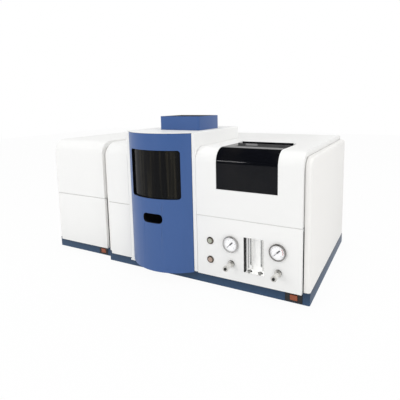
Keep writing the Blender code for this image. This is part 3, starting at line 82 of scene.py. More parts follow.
# The studio: a seamless white sweep and large soft boxes, one at the left front, one at the right
# and one overhead. A strip light and cards stand round it, which only gloss and metal see.
ROOM_LIGHT = 0.76
SWEEP_GLOW = 0.95
SWEEP_TONE = 0.86
SWEEP_ROUGHNESS = 0.9
SWEEP_HALF = 8
BOX_AIM = (0.1, 0, 0.3)
SOFT_BOXES = [("key_box", (-1.6, -3.7, 1.7), 3.0, 42), ("fill_box", (3.6, -1.2, 1.9), 2.4, 27),
              ("top_box", (0.2, 0.2, 3.4), 3.2, 27)]
STRIP_PLACE = (-2.0, -5.0, 1.3)
STRIP_AIM = (0.4, -0.3, 0.6)
STRIP_SIZE = (0.8, 0.3)
STRIP_POWER = 12
CARDS = [("front_card", (0.0, -7.0, 1.75), (7.0, 1.75), "X", 0.01),
         ("rear_card", (-1.7, 5.0, 0.85), (1.3, 0.85), "X", 0.16),
         ("rear_pale_card", (-1.725, 4.95, 1.15), (0.125, 0.40), "X", 0.65),
         ("ceiling_card", (-1.6, -0.5, 3.5), (2.8, 6.5), None, 0.01)]


def direct_rays(tree):
    """One where a ray comes from the camera, or by way of a gloss or a glass."""
    path = tree.nodes.new("ShaderNodeLightPath")
    answer = path.outputs["Is Camera Ray"]
    for kind in ("Is Glossy Ray", "Is Transmission Ray"):
        either = tree.nodes.new("ShaderNodeMath")
        either.operation = "MAXIMUM"
        tree.links.new(answer, either.inputs[0])
        tree.links.new(path.outputs[kind], either.inputs[1])
        answer = either.outputs[0]
    return answer


def area_light(name, shape, place, aim, power):
    """A light that the camera doesn't see, turned towards a point."""
    made = placed(name, bpy.data.lights.new(name, "AREA"))
    made.data.shape = shape
    made.data.energy = power
    made.location = place
    made.rotation_euler = (Vector(aim) - Vector(place)).to_track_quat("-Z", "Y").to_euler()
    made.visible_camera = False
    return made


def finish(name, roughness):
    """A new material and its main shader."""
    material = bpy.data.materials.new(name)
    material.use_nodes = True
    shader = material.node_tree.nodes["Principled BSDF"]
    shader.inputs["Roughness"].default_value = roughness
    return material, shader


def staged(name, half_sizes, turn, place, material):
    """A flat sheet that belongs to the studio."""
    sheet = bmesh.new()
    bmesh.ops.create_grid(sheet, x_segments=1, y_segments=1, size=1)
    bmesh.ops.scale(sheet, vec=(*half_sizes, 1), verts=sheet.verts)
    if turn:
        quarter = Matrix.Rotation(math.radians(90), 3, turn)
        bmesh.ops.rotate(sheet, verts=sheet.verts, matrix=quarter)
    bmesh.ops.translate(sheet, verts=sheet.verts, vec=place)
    mesh = bpy.data.meshes.new(name)
    sheet.to_mesh(mesh)
    sheet.free()
    mesh.materials.append(material)
    made = placed(name, mesh)
    return made


world = bpy.data.worlds.new("studio")
bpy.context.scene.world = world
world.use_nodes = True
room = world.node_tree
backdrop_light = room.nodes["Background"]
backdrop_light.inputs["Color"].default_value = (1, 1, 1, 1)
strength = room.nodes.new("ShaderNodeMapRange")
strength.inputs["To Min"].default_value = ROOM_LIGHT
strength.inputs["To Max"].default_value = 1.0
room.links.new(direct_rays(room), strength.inputs["Value"])
room.links.new(strength.outputs["Result"], backdrop_light.inputs["Strength"])
for box_name, place, width, power in SOFT_BOXES:
    soft_box = area_light(box_name, "DISK", place, BOX_AIM, power)
    soft_box.data.size = width
    soft_box.visible_glossy = False
strip_light = area_light("strip_light", "RECTANGLE", STRIP_PLACE, STRIP_AIM, STRIP_POWER)
strip_light.data.size, strip_light.data.size_y = STRIP_SIZE
strip_light.visible_diffuse = False

sweep, sweep_paint = finish("white_sweep", SWEEP_ROUGHNESS)
sweep_paint.inputs["Base Color"].default_value = (SWEEP_TONE, SWEEP_TONE, SWEEP_TONE, 1)
sweep_tree = sweep.node_tree
glow = sweep_tree.nodes.new("ShaderNodeEmission")
blend = sweep_tree.nodes.new("ShaderNodeMixShader")
share = sweep_tree.nodes.new("ShaderNodeMath")
share.operation = "MULTIPLY"
share.inputs[1].default_value = SWEEP_GLOW
sweep_tree.links.new(direct_rays(sweep_tree), share.inputs[0])
sweep_tree.links.new(share.outputs[0], blend.inputs["Fac"])
sweep_tree.links.new(sweep_paint.outputs["BSDF"], blend.inputs[1])
sweep_tree.links.new(glow.outputs["Emission"], blend.inputs[2])
sweep_output = sweep_tree.nodes["Material Output"]
sweep_tree.links.new(blend.outputs["Shader"], sweep_output.inputs["Surface"])
staged("studio_floor", (SWEEP_HALF, SWEEP_HALF), None, (0, 0, 0), sweep)

for card_name, place, half_sizes, turn, tone in CARDS:
    card_finish, card_paint = finish(f"{card_name}_paint", 1.0)
    card_paint.inputs["Base Color"].default_value = (tone, tone, tone, 1)
    card = staged(card_name, half_sizes, turn, place, card_finish)
    card.visible_camera = False
    card.visible_diffuse = False
    card.visible_transmission = False
    card.visible_shadow = False

# Plinths: welded sheet-steel trays with tight corners, sprayed blue-grey, on short rubber feet.
# The coat is a stoved enamel with a fine orange peel and a few paler and darker clouds.
CLOUD_SCALE = 4.0
ROUGHNESS_SPREAD = 0.06
PEEL_STRENGTH = 0.6
CREASE = math.radians(32)
FLAT = math.radians(0.5)
SAME_POINT = 0.00001
FOOT_HEIGHT = 0.004
FOOT_MARGIN = 0.0001
PLINTH_FOOT_PAINTED_LIGHT = 1.22
PLINTH_TOP_PAINTED_SHADE = 0.72


def enamel_peel():
    """Fine grain and slow clouds for every sprayed or moulded surface."""
    group = bpy.data.node_groups.new("enamel_peel", "ShaderNodeTree")
    sockets = group.interface
    sockets.new_socket("Color", in_out="INPUT", socket_type="NodeSocketColor")
    for title in ("Grain Scale", "Cloud Depth", "Roughness"):
        sockets.new_socket(title, in_out="INPUT", socket_type="NodeSocketFloat")
    sockets.new_socket("Color", in_out="OUTPUT", socket_type="NodeSocketColor")
    sockets.new_socket("Roughness", in_out="OUTPUT", socket_type="NodeSocketFloat")
    sockets.new_socket("Height", in_out="OUTPUT", socket_type="NodeSocketFloat")
    nodes = group.nodes
    links = group.links
    given = nodes.new("NodeGroupInput")
    result = nodes.new("NodeGroupOutput")
    place = nodes.new("ShaderNodeTexCoord")
    cloud = nodes.new("ShaderNodeTexNoise")
    cloud.inputs["Detail"].default_value = 3
    cloud.inputs["Scale"].default_value = CLOUD_SCALE
    links.new(place.outputs["Object"], cloud.inputs["Vector"])
    grain = nodes.new("ShaderNodeTexNoise")
    grain.inputs["Detail"].default_value = 2
    links.new(place.outputs["Object"], grain.inputs["Vector"])
    links.new(given.outputs["Grain Scale"], grain.inputs["Scale"])
    swing = nodes.new("ShaderNodeMath")
    swing.operation = "SUBTRACT"
    swing.inputs[1].default_value = 0.5
    links.new(cloud.outputs["Fac"], swing.inputs[0])
    depth = nodes.new("ShaderNodeMath")
    depth.operation = "MULTIPLY_ADD"
    depth.inputs[2].default_value = 1.0
    links.new(swing.outputs[0], depth.inputs[0])
    links.new(given.outputs["Cloud Depth"], depth.inputs[1])
    shade = nodes.new("ShaderNodeVectorMath")
    shade.operation = "SCALE"
    links.new(given.outputs["Color"], shade.inputs[0])
    links.new(depth.outputs[0], shade.inputs["Scale"])
    links.new(shade.outputs["Vector"], result.inputs["Color"])
    rough = nodes.new("ShaderNodeMath")
    rough.operation = "MULTIPLY_ADD"
    rough.inputs[1].default_value = ROUGHNESS_SPREAD
    links.new(swing.outputs[0], rough.inputs[0])
    links.new(given.outputs["Roughness"], rough.inputs[2])
    links.new(rough.outputs[0], result.inputs["Roughness"])
    links.new(grain.outputs["Fac"], result.inputs["Height"])
    return group


peel = enamel_peel()


def coated(name, color, roughness, grain, cloud_depth=0.05, peel_height=0.00002, metallic=0.0,
           gloss=0.5):
    """A painted, moulded or cast surface with its own grain."""
    material, shader = finish(name, roughness)
    shader.inputs["Metallic"].default_value = metallic
    shader.inputs["Specular IOR Level"].default_value = gloss
    tree = material.node_tree
    surface = tree.nodes.new("ShaderNodeGroup")
    surface.node_tree = peel
    surface.inputs["Color"].default_value = (*color, 1)
    surface.inputs["Grain Scale"].default_value = grain
    surface.inputs["Cloud Depth"].default_value = cloud_depth
    surface.inputs["Roughness"].default_value = roughness
    tree.links.new(surface.outputs["Color"], shader.inputs["Base Color"])
    tree.links.new(surface.outputs["Roughness"], shader.inputs["Roughness"])
    bump = tree.nodes.new("ShaderNodeBump")
    bump.inputs["Distance"].default_value = peel_height
    bump.inputs["Strength"].default_value = PEEL_STRENGTH
    tree.links.new(surface.outputs["Height"], bump.inputs["Height"])
    tree.links.new(bump.outputs["Normal"], shader.inputs["Normal"])
    return material


def painted_height_shade(material, low, high, pale, dark):
    """Paint a coat darker towards its top, a painted shade for the shadow under the overhanging
    panels, and lighter towards its foot, a painted light.
    """
    nodes = material.node_tree.nodes
    links = material.node_tree.links
    place = nodes.new("ShaderNodeTexCoord")
    height = nodes.new("ShaderNodeSeparateXYZ")
    links.new(place.outputs["Object"], height.inputs[0])
    fade = nodes.new("ShaderNodeMapRange")
    for title, value in (("From Min", low), ("From Max", high), ("To Min", pale), ("To Max", dark)):
        fade.inputs[title].default_value = value
    links.new(height.outputs["Z"], fade.inputs["Value"])
    shade = nodes.new("ShaderNodeVectorMath")
    shade.operation = "SCALE"
    shader = nodes["Principled BSDF"]
    links.new(shader.inputs["Base Color"].links[0].from_socket, shade.inputs[0])
    links.new(fade.outputs["Result"], shade.inputs["Scale"])
    links.new(shade.outputs["Vector"], shader.inputs["Base Color"])


def shown(name, bm, materials):
    """An object made from a bmesh, smooth between its creases."""
    mesh = bpy.data.meshes.new(name)
    for material in materials:
        mesh.materials.append(material)
    bm.to_mesh(mesh)
    bm.free()
    mesh.shade_smooth()
    mesh.set_sharp_from_angle(angle=CREASE)
    return placed(name, mesh)


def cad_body(node):
    """The moving body that a CAD node belongs to."""
    bodies = frame["record"]["behaviour"]["bodies"]
    return next(name for name, nodes in bodies.items() if node in nodes)


def eased(node, material, edge, steps=2, others=()):
    """A clean copy of a CAD solid with its edges broken, standing for that solid."""
    bm = bmesh.new()
    bm.from_mesh(frame["nodes"][node].data)
    bmesh.ops.remove_doubles(bm, verts=bm.verts, dist=SAME_POINT)
    bmesh.ops.dissolve_limit(bm, angle_limit=FLAT, verts=bm.verts, edges=bm.edges,
                             use_dissolve_boundaries=False)
    for index, (other, test) in enumerate(others, 1):
        for face in bm.faces:
            if test(face.calc_center_median(), face.normal):
                face.material_index = index
    made = shown(f"{node}_form", bm, [material, *(other for other, test in others)])
    if edge:
        rim = made.modifiers.new("broken_edges", "BEVEL")
        rim.width = edge
        rim.segments = steps
        rim.limit_method = "ANGLE"
        rim.angle_limit = CREASE
        rim.harden_normals = True
    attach(made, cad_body(node))
    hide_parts(node)
    return made


def is_foot(centre, normal):
    """True on the faces of the feet under a plinth."""
    return centre.z < FOOT_HEIGHT - FOOT_MARGIN


plinth_blue = coated("plinth_blue", (0.034, 0.068, 0.128), 0.42, grain=700, gloss=0.2)
foot_rubber = coated("foot_rubber", (0.02, 0.02, 0.02), 0.8, grain=1200)
# The plinth's coat is darker at its top and lighter at its foot: painted shade under the panels and
# painted light near the floor.
painted_height_shade(plinth_blue, FOOT_HEIGHT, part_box("main_base")[1].z, PLINTH_FOOT_PAINTED_LIGHT, PLINTH_TOP_PAINTED_SHADE)
for plinth in ("main_base", "companion_base"):
    eased(plinth, plinth_blue, 0.0012, others=[(foot_rubber, is_foot)])

# Power rockers: an orange moulding with a light inside, on a cross pin in a black bezel that
# snaps into the front of the plinth.
rocker_black = coated("rocker_black", (0.008, 0.008, 0.009), 0.35, grain=1500, gloss=0.4)
rocker_orange = coated("rocker_orange", (0.30, 0.080, 0.036), 0.30, grain=1500, gloss=0.3)
for rocker_set in ("power", "companion"):
    eased(f"{rocker_set}_rocker_bezel", rocker_black, 0.0008)
    eased(f"{rocker_set}_rocker", rocker_orange, 0.0006)

# End cheeks: thick cast-resin panels with a wide round edge, painted nearly the same white as the
# hoods. They stand on the plinth and close the sides.
casing_white = coated("casing_white", (0.86, 0.86, 0.85), 0.42, grain=1100, cloud_depth=0.02,
                      gloss=0.15)
cheek_white = coated("cheek_white", (0.85, 0.84, 0.82), 0.45, grain=1100, cloud_depth=0.02,
                     gloss=0.15)
for cheek in ("left_side_panel", "right_side_panel", "companion_left_side_panel",
              "companion_right_side_panel"):
    eased(cheek, cheek_white, 0.002)

# Hoods: vacuum-formed shells that wrap from the front over the top. Under each, below a thin
# seam, hangs a shallow front panel in the same white.
for shell in ("left_hood", "right_hood", "companion_hood"):
    eased(shell, casing_white, 0.002)
for tray in ("left_front_panel", "control_panel", "companion_front_panel", "rear_top_cover"):
    eased(tray, casing_white, 0.001)

# Seals: a soft pale strip closes the seam under each hood, and another runs round the gap between
# a hood and its cheek. Both are pushed in from the front and sit a little below the surface.
SEAL_DEPTH = 0.0015
SEAL_THICKNESS = 0.003
SEAL_CLEARANCE = 0.0003
SEAL_END_GAP = 0.001
SEAL_REAR_GAP = 0.01
HOOD_HEIGHT = 0.2925
BEND_RADIUS = 0.061
CHEEK_SEAL_RADII = (0.0350, 0.0385)


def formed(name, bm, materials, body):
    """A new piece that rides on a body and takes the given finishes."""
    bmesh.ops.recalc_face_normals(bm, faces=bm.faces)
    made = shown(name, bm, materials)
    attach(made, body)
    return made


def tinted(bm, before, index):
    """Give the faces made since a count the material of an index."""
    bm.faces.ensure_lookup_table()
    for face in bm.faces[before:]:
        face.material_index = index


def slab(bm, low, high, index=0, turn=Matrix.Identity(4)):
    """A box between two corners, turned about the origin of the given matrix."""
    before = len(bm.faces)
    low, high = Vector(low), Vector(high)
    place = turn @ Matrix.Translation((low + high) / 2) @ Matrix.Diagonal((*(high - low), 1))
    bmesh.ops.create_cube(bm, size=1, matrix=place)
    tinted(bm, before, index)


seal_pale = coated("seal_pale", (0.62, 0.62, 0.60), 0.7, grain=1300, gloss=0.1)
for shell, tray in (("left_hood", "left_front_panel"), ("right_hood", "control_panel"),
                    ("companion_hood", "companion_front_panel")):
    shell_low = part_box(shell)[0]
    tray_low, tray_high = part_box(tray)
    seal_front = tray_low.y + SEAL_DEPTH
    seam_seal = bmesh.new()
    slab(seam_seal, (tray_low.x + SEAL_END_GAP, seal_front, tray_high.z + SEAL_CLEARANCE),
         (tray_high.x - SEAL_END_GAP, seal_front + SEAL_THICKNESS, shell_low.z - SEAL_CLEARANCE))
    formed(f"{tray}_seal", seam_seal, [seal_pale], "instrument")
for shell, cheek in (("left_hood", "left_side_panel"), ("right_hood", "right_side_panel"),
                     ("companion_hood", "companion_left_side_panel"),
                     ("companion_hood", "companion_right_side_panel")):
    shell_low, shell_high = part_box(shell)
    cheek_low, cheek_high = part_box(cheek)
    on_right = cheek_low.x > shell_low.x
    gap = (shell_high.x, cheek_low.x) if on_right else (cheek_high.x, shell_low.x)
    gap_left, gap_right = sorted(gap)
    bend_y = shell_low.y + BEND_RADIUS
    bend_z = shell_low.z + HOOD_HEIGHT - BEND_RADIUS
    near, far = CHEEK_SEAL_RADII
    cheek_seal = bmesh.new()
    slab(cheek_seal, (gap_left + SEAL_CLEARANCE, bend_y - far, shell_low.z),
         (gap_right - SEAL_CLEARANCE, bend_y - near, bend_z))
    upper = max(cheek_seal.faces, key=lambda face: face.calc_center_median().z)
    bent = bmesh.ops.spin(cheek_seal, geom=[upper], cent=(gap_left, bend_y, bend_z),
                          axis=(1, 0, 0), angle=math.radians(-90), steps=10)
    bend_end = [item for item in bent["geom_last"] if isinstance(item, bmesh.types.BMFace)]
    rear = bmesh.ops.extrude_face_region(cheek_seal, geom=bend_end)
    bmesh.ops.delete(cheek_seal, geom=[upper, *bend_end], context="FACES_ONLY")
    bmesh.ops.translate(cheek_seal, vec=(0, cheek_high.y - SEAL_REAR_GAP - bend_y, 0),
                        verts=[item for item in rear["geom"]
                               if isinstance(item, bmesh.types.BMVert)])
    formed(f"{cheek}_seal", cheek_seal, [seal_pale], "instrument")

# Burner column: a folded steel frame, white outside and dark heat-proof enamel inside, closed on
# top by a flat cap with a bowed nose. A ringed lens in each side wall lets the light beam through.
COLUMN_REAR_WALL = 0.010
COLUMN_SIDE_WALL = 0.0165
ROOM_FRONT = 0.02
ROOM_TOP_GAP = 0.002
WALL_MARGIN = 0.001
PORT_AXIS = (-0.15175, 0.459)
PORT_RING = (0.0155, 0.0217)
PORT_LENGTH = 0.010
PORT_LEFT_INSET = 0.004
PORT_RIGHT_INSET = 0.014
LENS_RADIUS = PORT_RING[0] - 0.0002
LENS_PROFILE = [(0, 0.0015), (0.008, 0.0022), (LENS_RADIUS, 0.0040), (LENS_RADIUS, 0.0060),
                (0.008, 0.0078), (0, 0.0085)]
column_low, column_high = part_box("column_housing")
column_x = (column_low.x + column_high.x) / 2


def in_burner_room(centre, normal):
    """True on the faces that close the burner room from its sides, behind and below."""
    half = column_high.x - COLUMN_SIDE_WALL - column_x + WALL_MARGIN
    return (abs(centre.x - column_x) < half
            and column_low.y + ROOM_FRONT < centre.y < column_high.y - COLUMN_REAR_WALL / 2
            and centre.z < column_high.z - ROOM_TOP_GAP)


def is_underside(centre, normal):
    """True on the faces that look down."""
    return normal.z < -0.5


def clear(name, tint, opacity, roughness=0.03):
    """A clear glass or acrylic that the light goes straight through."""
    material, shader = finish(name, roughness)
    shader.inputs["Base Color"].default_value = (*tint, 1)
    shader.inputs["Alpha"].default_value = opacity
    return material


def turned(bm, profile, centre, along, steps=48, index=0, sweep=math.tau, start=None):
    """Spin a profile of (radius, reach) points round an axis. A ring's profile is closed."""
    before = len(bm.faces)
    along = Vector(along)
    out = Vector(start) if start else along.orthogonal().normalized()
    points = [bm.verts.new(Vector(centre) + out * radius + along * reach)
              for radius, reach in profile]
    pairs = list(zip(points, points[1:]))
    if profile[0][0] > 0:
        pairs.append((points[-1], points[0]))
    edges = [bm.edges.new(pair) for pair in pairs]
    whole = sweep == math.tau
    bmesh.ops.spin(bm, geom=points + edges, cent=Vector(centre), axis=along, angle=sweep,
                   steps=steps, use_merge=whole)
    if whole:
        bmesh.ops.remove_doubles(bm, verts=bm.verts, dist=SAME_POINT)
    else:
        open_edges = [edge for edge in bm.edges if edge.is_boundary]
        bmesh.ops.holes_fill(bm, edges=open_edges, sides=len(profile))
    tinted(bm, before, index)


furnace_dark = coated("furnace_dark", (0.055, 0.052, 0.049), 0.50, grain=400, cloud_depth=0.3)
lens_glass = clear("lens_glass", (0.75, 0.82, 0.88), 0.25)
ring_black = coated("ring_black", (0.015, 0.015, 0.016), 0.4, grain=1500)
eased("column_housing", casing_white, 0.0015, others=[(furnace_dark, in_burner_room)])
for port, wall_x in (("left", column_low.x + PORT_LEFT_INSET),
                     ("right", column_high.x - PORT_RIGHT_INSET)):
    near, far = PORT_RING
    holder = bmesh.new()
    turned(holder, [(near, 0), (far, 0), (far, PORT_LENGTH), (near, PORT_LENGTH)],
           (wall_x, *PORT_AXIS), (1, 0, 0))
    formed(f"port_ring_{port}", holder, [ring_black], "instrument")
    lens = bmesh.new()
    turned(lens, LENS_PROFILE, (wall_x, *PORT_AXIS), (1, 0, 0))
    formed(f"port_lens_{port}", lens, [lens_glass], "instrument")
eased("column_cap", casing_white, 0.0008, others=[(furnace_dark, is_underside)])

# Chimney: a short duct of bent sheet, sprayed the door's blue, open straight down to the flame.
# Its inside is the same dark enamel as the burner room.
chimney_low, chimney_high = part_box("chimney")
chimney_middle = (chimney_low + chimney_high) / 2


def in_duct(centre, normal):
    """True on the walls that look towards the middle of the duct."""
    return (centre - chimney_middle).dot(normal) < 0 and abs(normal.z) < 0.5


door_blue = coated("door_blue", (0.044, 0.105, 0.288), 0.36, grain=800, gloss=0.35)
eased("chimney", door_blue, 0.0006, others=[(furnace_dark, in_duct)])

# Burner door: a bowed moulding that turns on a steel rod down its left edge. A finger slot is cut
# through it, and the cut edges of the slot and of the window carry a black rubber lining.
DOOR_SIDE_MARGIN = 0.03
DOOR_END_MARGIN = 0.01
CORNER_WELD = 0.00003
PANE_REFLECTION_STREAKS = (70, 24, 1.6)
STREAK_RANGE = (0.48, 0.72)
SMOKE_OPACITY = 0.93
door_low, door_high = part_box("burner_door")


def in_door_cut(centre, normal):
    """True on the edges of the slot and of the window, which run straight back."""
    return (abs(normal.y) < 0.05
            and door_low.x + DOOR_SIDE_MARGIN < centre.x < door_high.x - DOOR_SIDE_MARGIN
            and door_low.z + DOOR_END_MARGIN < centre.z < door_high.z - DOOR_END_MARGIN)


def smoked(name, tint, streak_tint, streak_scale, gloss):
    """Dark acrylic with a bright polish, in upright streaks of a second tint."""
    material, shader = finish(name, 0.05)
    shader.inputs["Specular IOR Level"].default_value = gloss
    shader.inputs["Alpha"].default_value = SMOKE_OPACITY
    tree = material.node_tree
    place = tree.nodes.new("ShaderNodeTexCoord")
    stretch = tree.nodes.new("ShaderNodeMapping")
    stretch.inputs["Scale"].default_value = streak_scale
    streaks = tree.nodes.new("ShaderNodeTexNoise")
    streaks.inputs["Scale"].default_value = 1.0
    streaks.inputs["Detail"].default_value = 3
    ramp = tree.nodes.new("ShaderNodeMapRange")
    ramp.inputs["From Min"].default_value, ramp.inputs["From Max"].default_value = STREAK_RANGE
    mix = tree.nodes.new("ShaderNodeMix")
    mix.data_type = "RGBA"
    mix.inputs["A"].default_value = (*tint, 1)
    mix.inputs["B"].default_value = (*streak_tint, 1)
    tree.links.new(place.outputs["Object"], stretch.inputs["Vector"])
    tree.links.new(stretch.outputs["Vector"], streaks.inputs["Vector"])
    tree.links.new(streaks.outputs["Fac"], ramp.inputs["Value"])
    tree.links.new(ramp.outputs["Result"], mix.inputs["Factor"])
    tree.links.new(mix.outputs["Result"], shader.inputs["Base Color"])
    return material


lining_black = coated("lining_black", (0.010, 0.010, 0.011), 0.6, grain=1500, gloss=0.3)
rod_steel = coated("rod_steel", (0.56, 0.56, 0.57), 0.28, grain=1600, metallic=1.0)
door_form = eased("burner_door", door_blue, 0.0006, others=[(lining_black, in_door_cut)])
corner_weld = door_form.modifiers.new("corner_weld", "WELD")
corner_weld.merge_threshold = CORNER_WELD
eased("door_hinge_rod", rod_steel, 0)
# The pane's brownish upright streaks are painted reflections, standing for the room mirrored in the
# bowed acrylic.
smoked_pane = smoked("smoked_pane", (0.0030, 0.0033, 0.0040), (0.027, 0.024, 0.016),
                     PANE_REFLECTION_STREAKS, gloss=0.10)
eased("door_window", smoked_pane, 0.0004)

# Lamp lid: one bent sheet of smoked acrylic, its back edge rolled round a steel rod that two lugs
# on the hood hold.
LID_STREAKS = (9, 9, 5)
smoked_lid = smoked("smoked_lid", (0.0040, 0.0045, 0.0065), (0.008, 0.008, 0.009),
                    LID_STREAKS, gloss=0.15)
eased("lamp_lid", smoked_lid, 0.0006)
eased("lid_hinge_rod", rod_steel, 0)

# Push buttons: heavy chromed rings screwed through the control panel, each with a moulded cap,
# green-grey to light the flame and brown to put it out.
ring_chrome = coated("ring_chrome", (0.13, 0.11, 0.09), 0.16, grain=2000, metallic=1.0)
button_green = coated("button_green", (0.38, 0.40, 0.33), 0.35, grain=1500)
button_brown = coated("button_brown", (0.40, 0.30, 0.25), 0.35, grain=1500)
for button, cap in (("ignition_button", button_green), ("stop_button", button_brown)):
    eased(f"{button}_ring", ring_chrome, 0.0004)
    eased(button, cap, 0.0004)

# Pressure gauges: a nickelled cup and bezel, a white dial printed with a scale, a black needle
# with a broad tail, and a flat glass held by the bezel.
PRINT_DEPTH = 0.0002
PRINT_SAME_POINT = 0.000002
DIAL_DEPTH = 0.006
DIAL_MARGIN = 0.0005
DIAL_PAINTED_GLOW = 0.12
DIAL_SCALE_RADIUS = 0.0268
DIAL_FIGURE_RADIUS = 0.0195
DIAL_FIGURE_HEIGHT = 0.0042
DIAL_SWEEP = math.radians(270)
DIAL_DIVISIONS = 50
LONG_MARK = (0.00028, 0.0042)
SHORT_MARK = (0.00015, 0.0022)
ARC_START = math.radians(42)
ARC_SWEEP = math.radians(66)
ARC_RADII = (0.0215, 0.0236)
GLASS_RADIUS = 0.0297
GLASS_THICKNESS = 0.0008
GLASS_SETBACK = 0.0022
NEEDLE_REST = math.radians(-135)
NEEDLE_HUB = 0.0032
NEEDLE_HUB_RISE = 0.0004
NEEDLE_THICKNESS = 0.0006
NEEDLE_TAIL = 0.014
NEEDLE_TAIL_HALF = 0.0027
NEEDLE_POINT = 0.0215
NEEDLE_POINT_HALF = 0.0009


def figures(bm, text, height, centre, index=0):
    """Printed figures, standing upright and facing the front."""
    before = len(bm.faces)
    known = len(bm.verts)
    curve = bpy.data.curves.new("figures", "FONT")
    curve.body = text
    curve.size = height
    curve.extrude = PRINT_DEPTH / 2
    curve.resolution_u = 2
    curve.align_x = "CENTER"
    curve.align_y = "CENTER"
    carrier = bpy.data.objects.new("figures", curve)
    mesh = bpy.data.meshes.new_from_object(carrier)
    mesh.transform(Matrix.Translation(centre) @ Matrix.Rotation(math.radians(90), 4, "X"))
    bm.from_mesh(mesh)
    bm.verts.ensure_lookup_table()
    bmesh.ops.remove_doubles(bm, verts=bm.verts[known:], dist=PRINT_SAME_POINT)
    bpy.data.objects.remove(carrier)
    bpy.data.curves.remove(curve)
    bpy.data.meshes.remove(mesh)
    tinted(bm, before, index)


def is_dial(centre, normal):
    """True on the flat ground of a gauge's cup."""
    return abs(centre.y - hub.y) < DIAL_MARGIN and normal.y < -0.5


def painted_glow(material, glow_strength):
    """Give a white face a faint glow of its own, a painted light where the studio's light doesn't
    reach it.
    """
    shader = material.node_tree.nodes["Principled BSDF"]
    shader.inputs["Emission Color"].default_value = (1, 1, 1, 1)
    shader.inputs["Emission Strength"].default_value = glow_strength


bezel_nickel = coated("bezel_nickel", (0.46, 0.455, 0.45), 0.13, grain=2000, metallic=1.0)
# The fuel gauge's bezel is a darker copy of the nickel, a painted shade for the darker reflections
# it shows.
bezel_nickel_painted_shade = coated("bezel_nickel_painted_shade", (0.27, 0.26, 0.25), 0.13, grain=2000, metallic=1.0)
dial_white = coated("dial_white", (0.94, 0.94, 0.95), 0.5, grain=2000, cloud_depth=0.02)
# The dial's faint glow is painted light, brightening it in the shade of the bezel.
painted_glow(dial_white, DIAL_PAINTED_GLOW)
print_black = coated("print_black", (0.03, 0.03, 0.035), 0.5, grain=2000)
print_red = coated("print_red", (0.62, 0.10, 0.10), 0.5, grain=2000)
gauge_glass = clear("gauge_glass", (0.95, 0.97, 0.98), 0.05)
for gauge, bezel in (("air_gauge", bezel_nickel), ("fuel_gauge", bezel_nickel_painted_shade)):
    gauge_low, gauge_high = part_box(gauge)
    hub = Vector(((gauge_low.x + gauge_high.x) / 2, gauge_low.y + DIAL_DEPTH,
                  (gauge_low.z + gauge_high.z) / 2))
    eased(gauge, bezel, 0.0004, others=[(dial_white, is_dial)])
    needle_low, needle_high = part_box(f"{gauge}_needle")
    needle = bmesh.new()
    turn = Matrix.Translation(hub) @ Matrix.Rotation(NEEDLE_REST, 4, "Y")
    near, far = needle_low.y - hub.y, needle_high.y - hub.y
    hub_face = near - NEEDLE_HUB_RISE
    turned(needle, [(0, hub_face), (NEEDLE_HUB, hub_face), (NEEDLE_HUB, far), (0, far)], hub,
           (0, 1, 0), steps=24)
    slab(needle, (-NEEDLE_TAIL_HALF, near, -NEEDLE_TAIL),
         (NEEDLE_TAIL_HALF, near + NEEDLE_THICKNESS, 0), turn=turn)
    slab(needle, (-NEEDLE_POINT_HALF, near, 0),
         (NEEDLE_POINT_HALF, near + NEEDLE_THICKNESS, NEEDLE_POINT), turn=turn)
    formed_needle = formed(f"{gauge}_pointer", needle, [print_black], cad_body(f"{gauge}_needle"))
    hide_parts(f"{gauge}_needle")
    scale_print = bmesh.new()
    for mark in range(DIAL_DIVISIONS + 1):
        angle = DIAL_SWEEP * (mark / DIAL_DIVISIONS - 0.5)
        turn = Matrix.Translation(hub) @ Matrix.Rotation(angle, 4, "Y")
        half, inward = SHORT_MARK if mark % 5 else LONG_MARK
        slab(scale_print, (-half, -PRINT_DEPTH, DIAL_SCALE_RADIUS - inward),
             (half, 0, DIAL_SCALE_RADIUS), turn=turn)
        if mark % 10 == 0:
            aside = Vector((math.sin(angle), 0, math.cos(angle))) * DIAL_FIGURE_RADIUS
            figures(scale_print, str(mark // 5), DIAL_FIGURE_HEIGHT,
                    hub + aside - Vector((0, PRINT_DEPTH / 2, 0)))
    if gauge == "fuel_gauge":
        near, far = ARC_RADII
        turned(scale_print, [(near, 0), (far, 0), (far, -PRINT_DEPTH), (near, -PRINT_DEPTH)],
               hub, (0, 1, 0), steps=16, index=1, sweep=ARC_SWEEP,
               start=(math.sin(ARC_START), 0, math.cos(ARC_START)))
    formed(f"{gauge}_scale", scale_print, [print_black, print_red], "instrument")
    pane = bmesh.new()
    front = gauge_low.y + GLASS_SETBACK - hub.y
    turned(pane, [(0, front), (GLASS_RADIUS, front), (GLASS_RADIUS, front + GLASS_THICKNESS),
                  (0, front + GLASS_THICKNESS)], hub, (0, 1, 0), steps=64)
    formed(f"{gauge}_glass", pane, [gauge_glass], "instrument")

# Flowmeter: a clear acrylic block behind the panel's window, bored for two glass tubes with a
# steel float in each, a white plate behind, a black box round it, and a needle valve to a tube.
WINDOW_SIDE_GAP = 0.010
WINDOW_TOP_GAP = 0.008
BOX_GAP = 0.0003
BOX_REACH = 0.002
PLATE = 0.0012
PLATE_PAINTED_GLOW = 0.34
TUBE_BOTTOM = 0.1285
TUBE_TOP_GAP = 0.0015
TUBE_RADII = (0.0054, 0.0047)
BADGE_HALF = 0.0105
BADGE_DEPTH = 0.0010
BADGE_END_GAP = 0.003
BADGE_CORNER = 0.003
SCALE_DEPTH = 0.0002
SCALE_FOOT = 0.118
SCALE_TOP_GAP = 0.002
SCALE_OFFSET = 0.0072
SCALE_WIDTH = 0.0088
SCALE_SIDE_GAP = 0.0092
MARK_FOOT = 0.130
MARK_STEP = 0.0027
MARK_COUNT = 41
MARK_HEIGHT = 0.0006
MARK_START = 0.0004
MARK_DEPTH = 0.0003
LONG_REACH = 0.0044
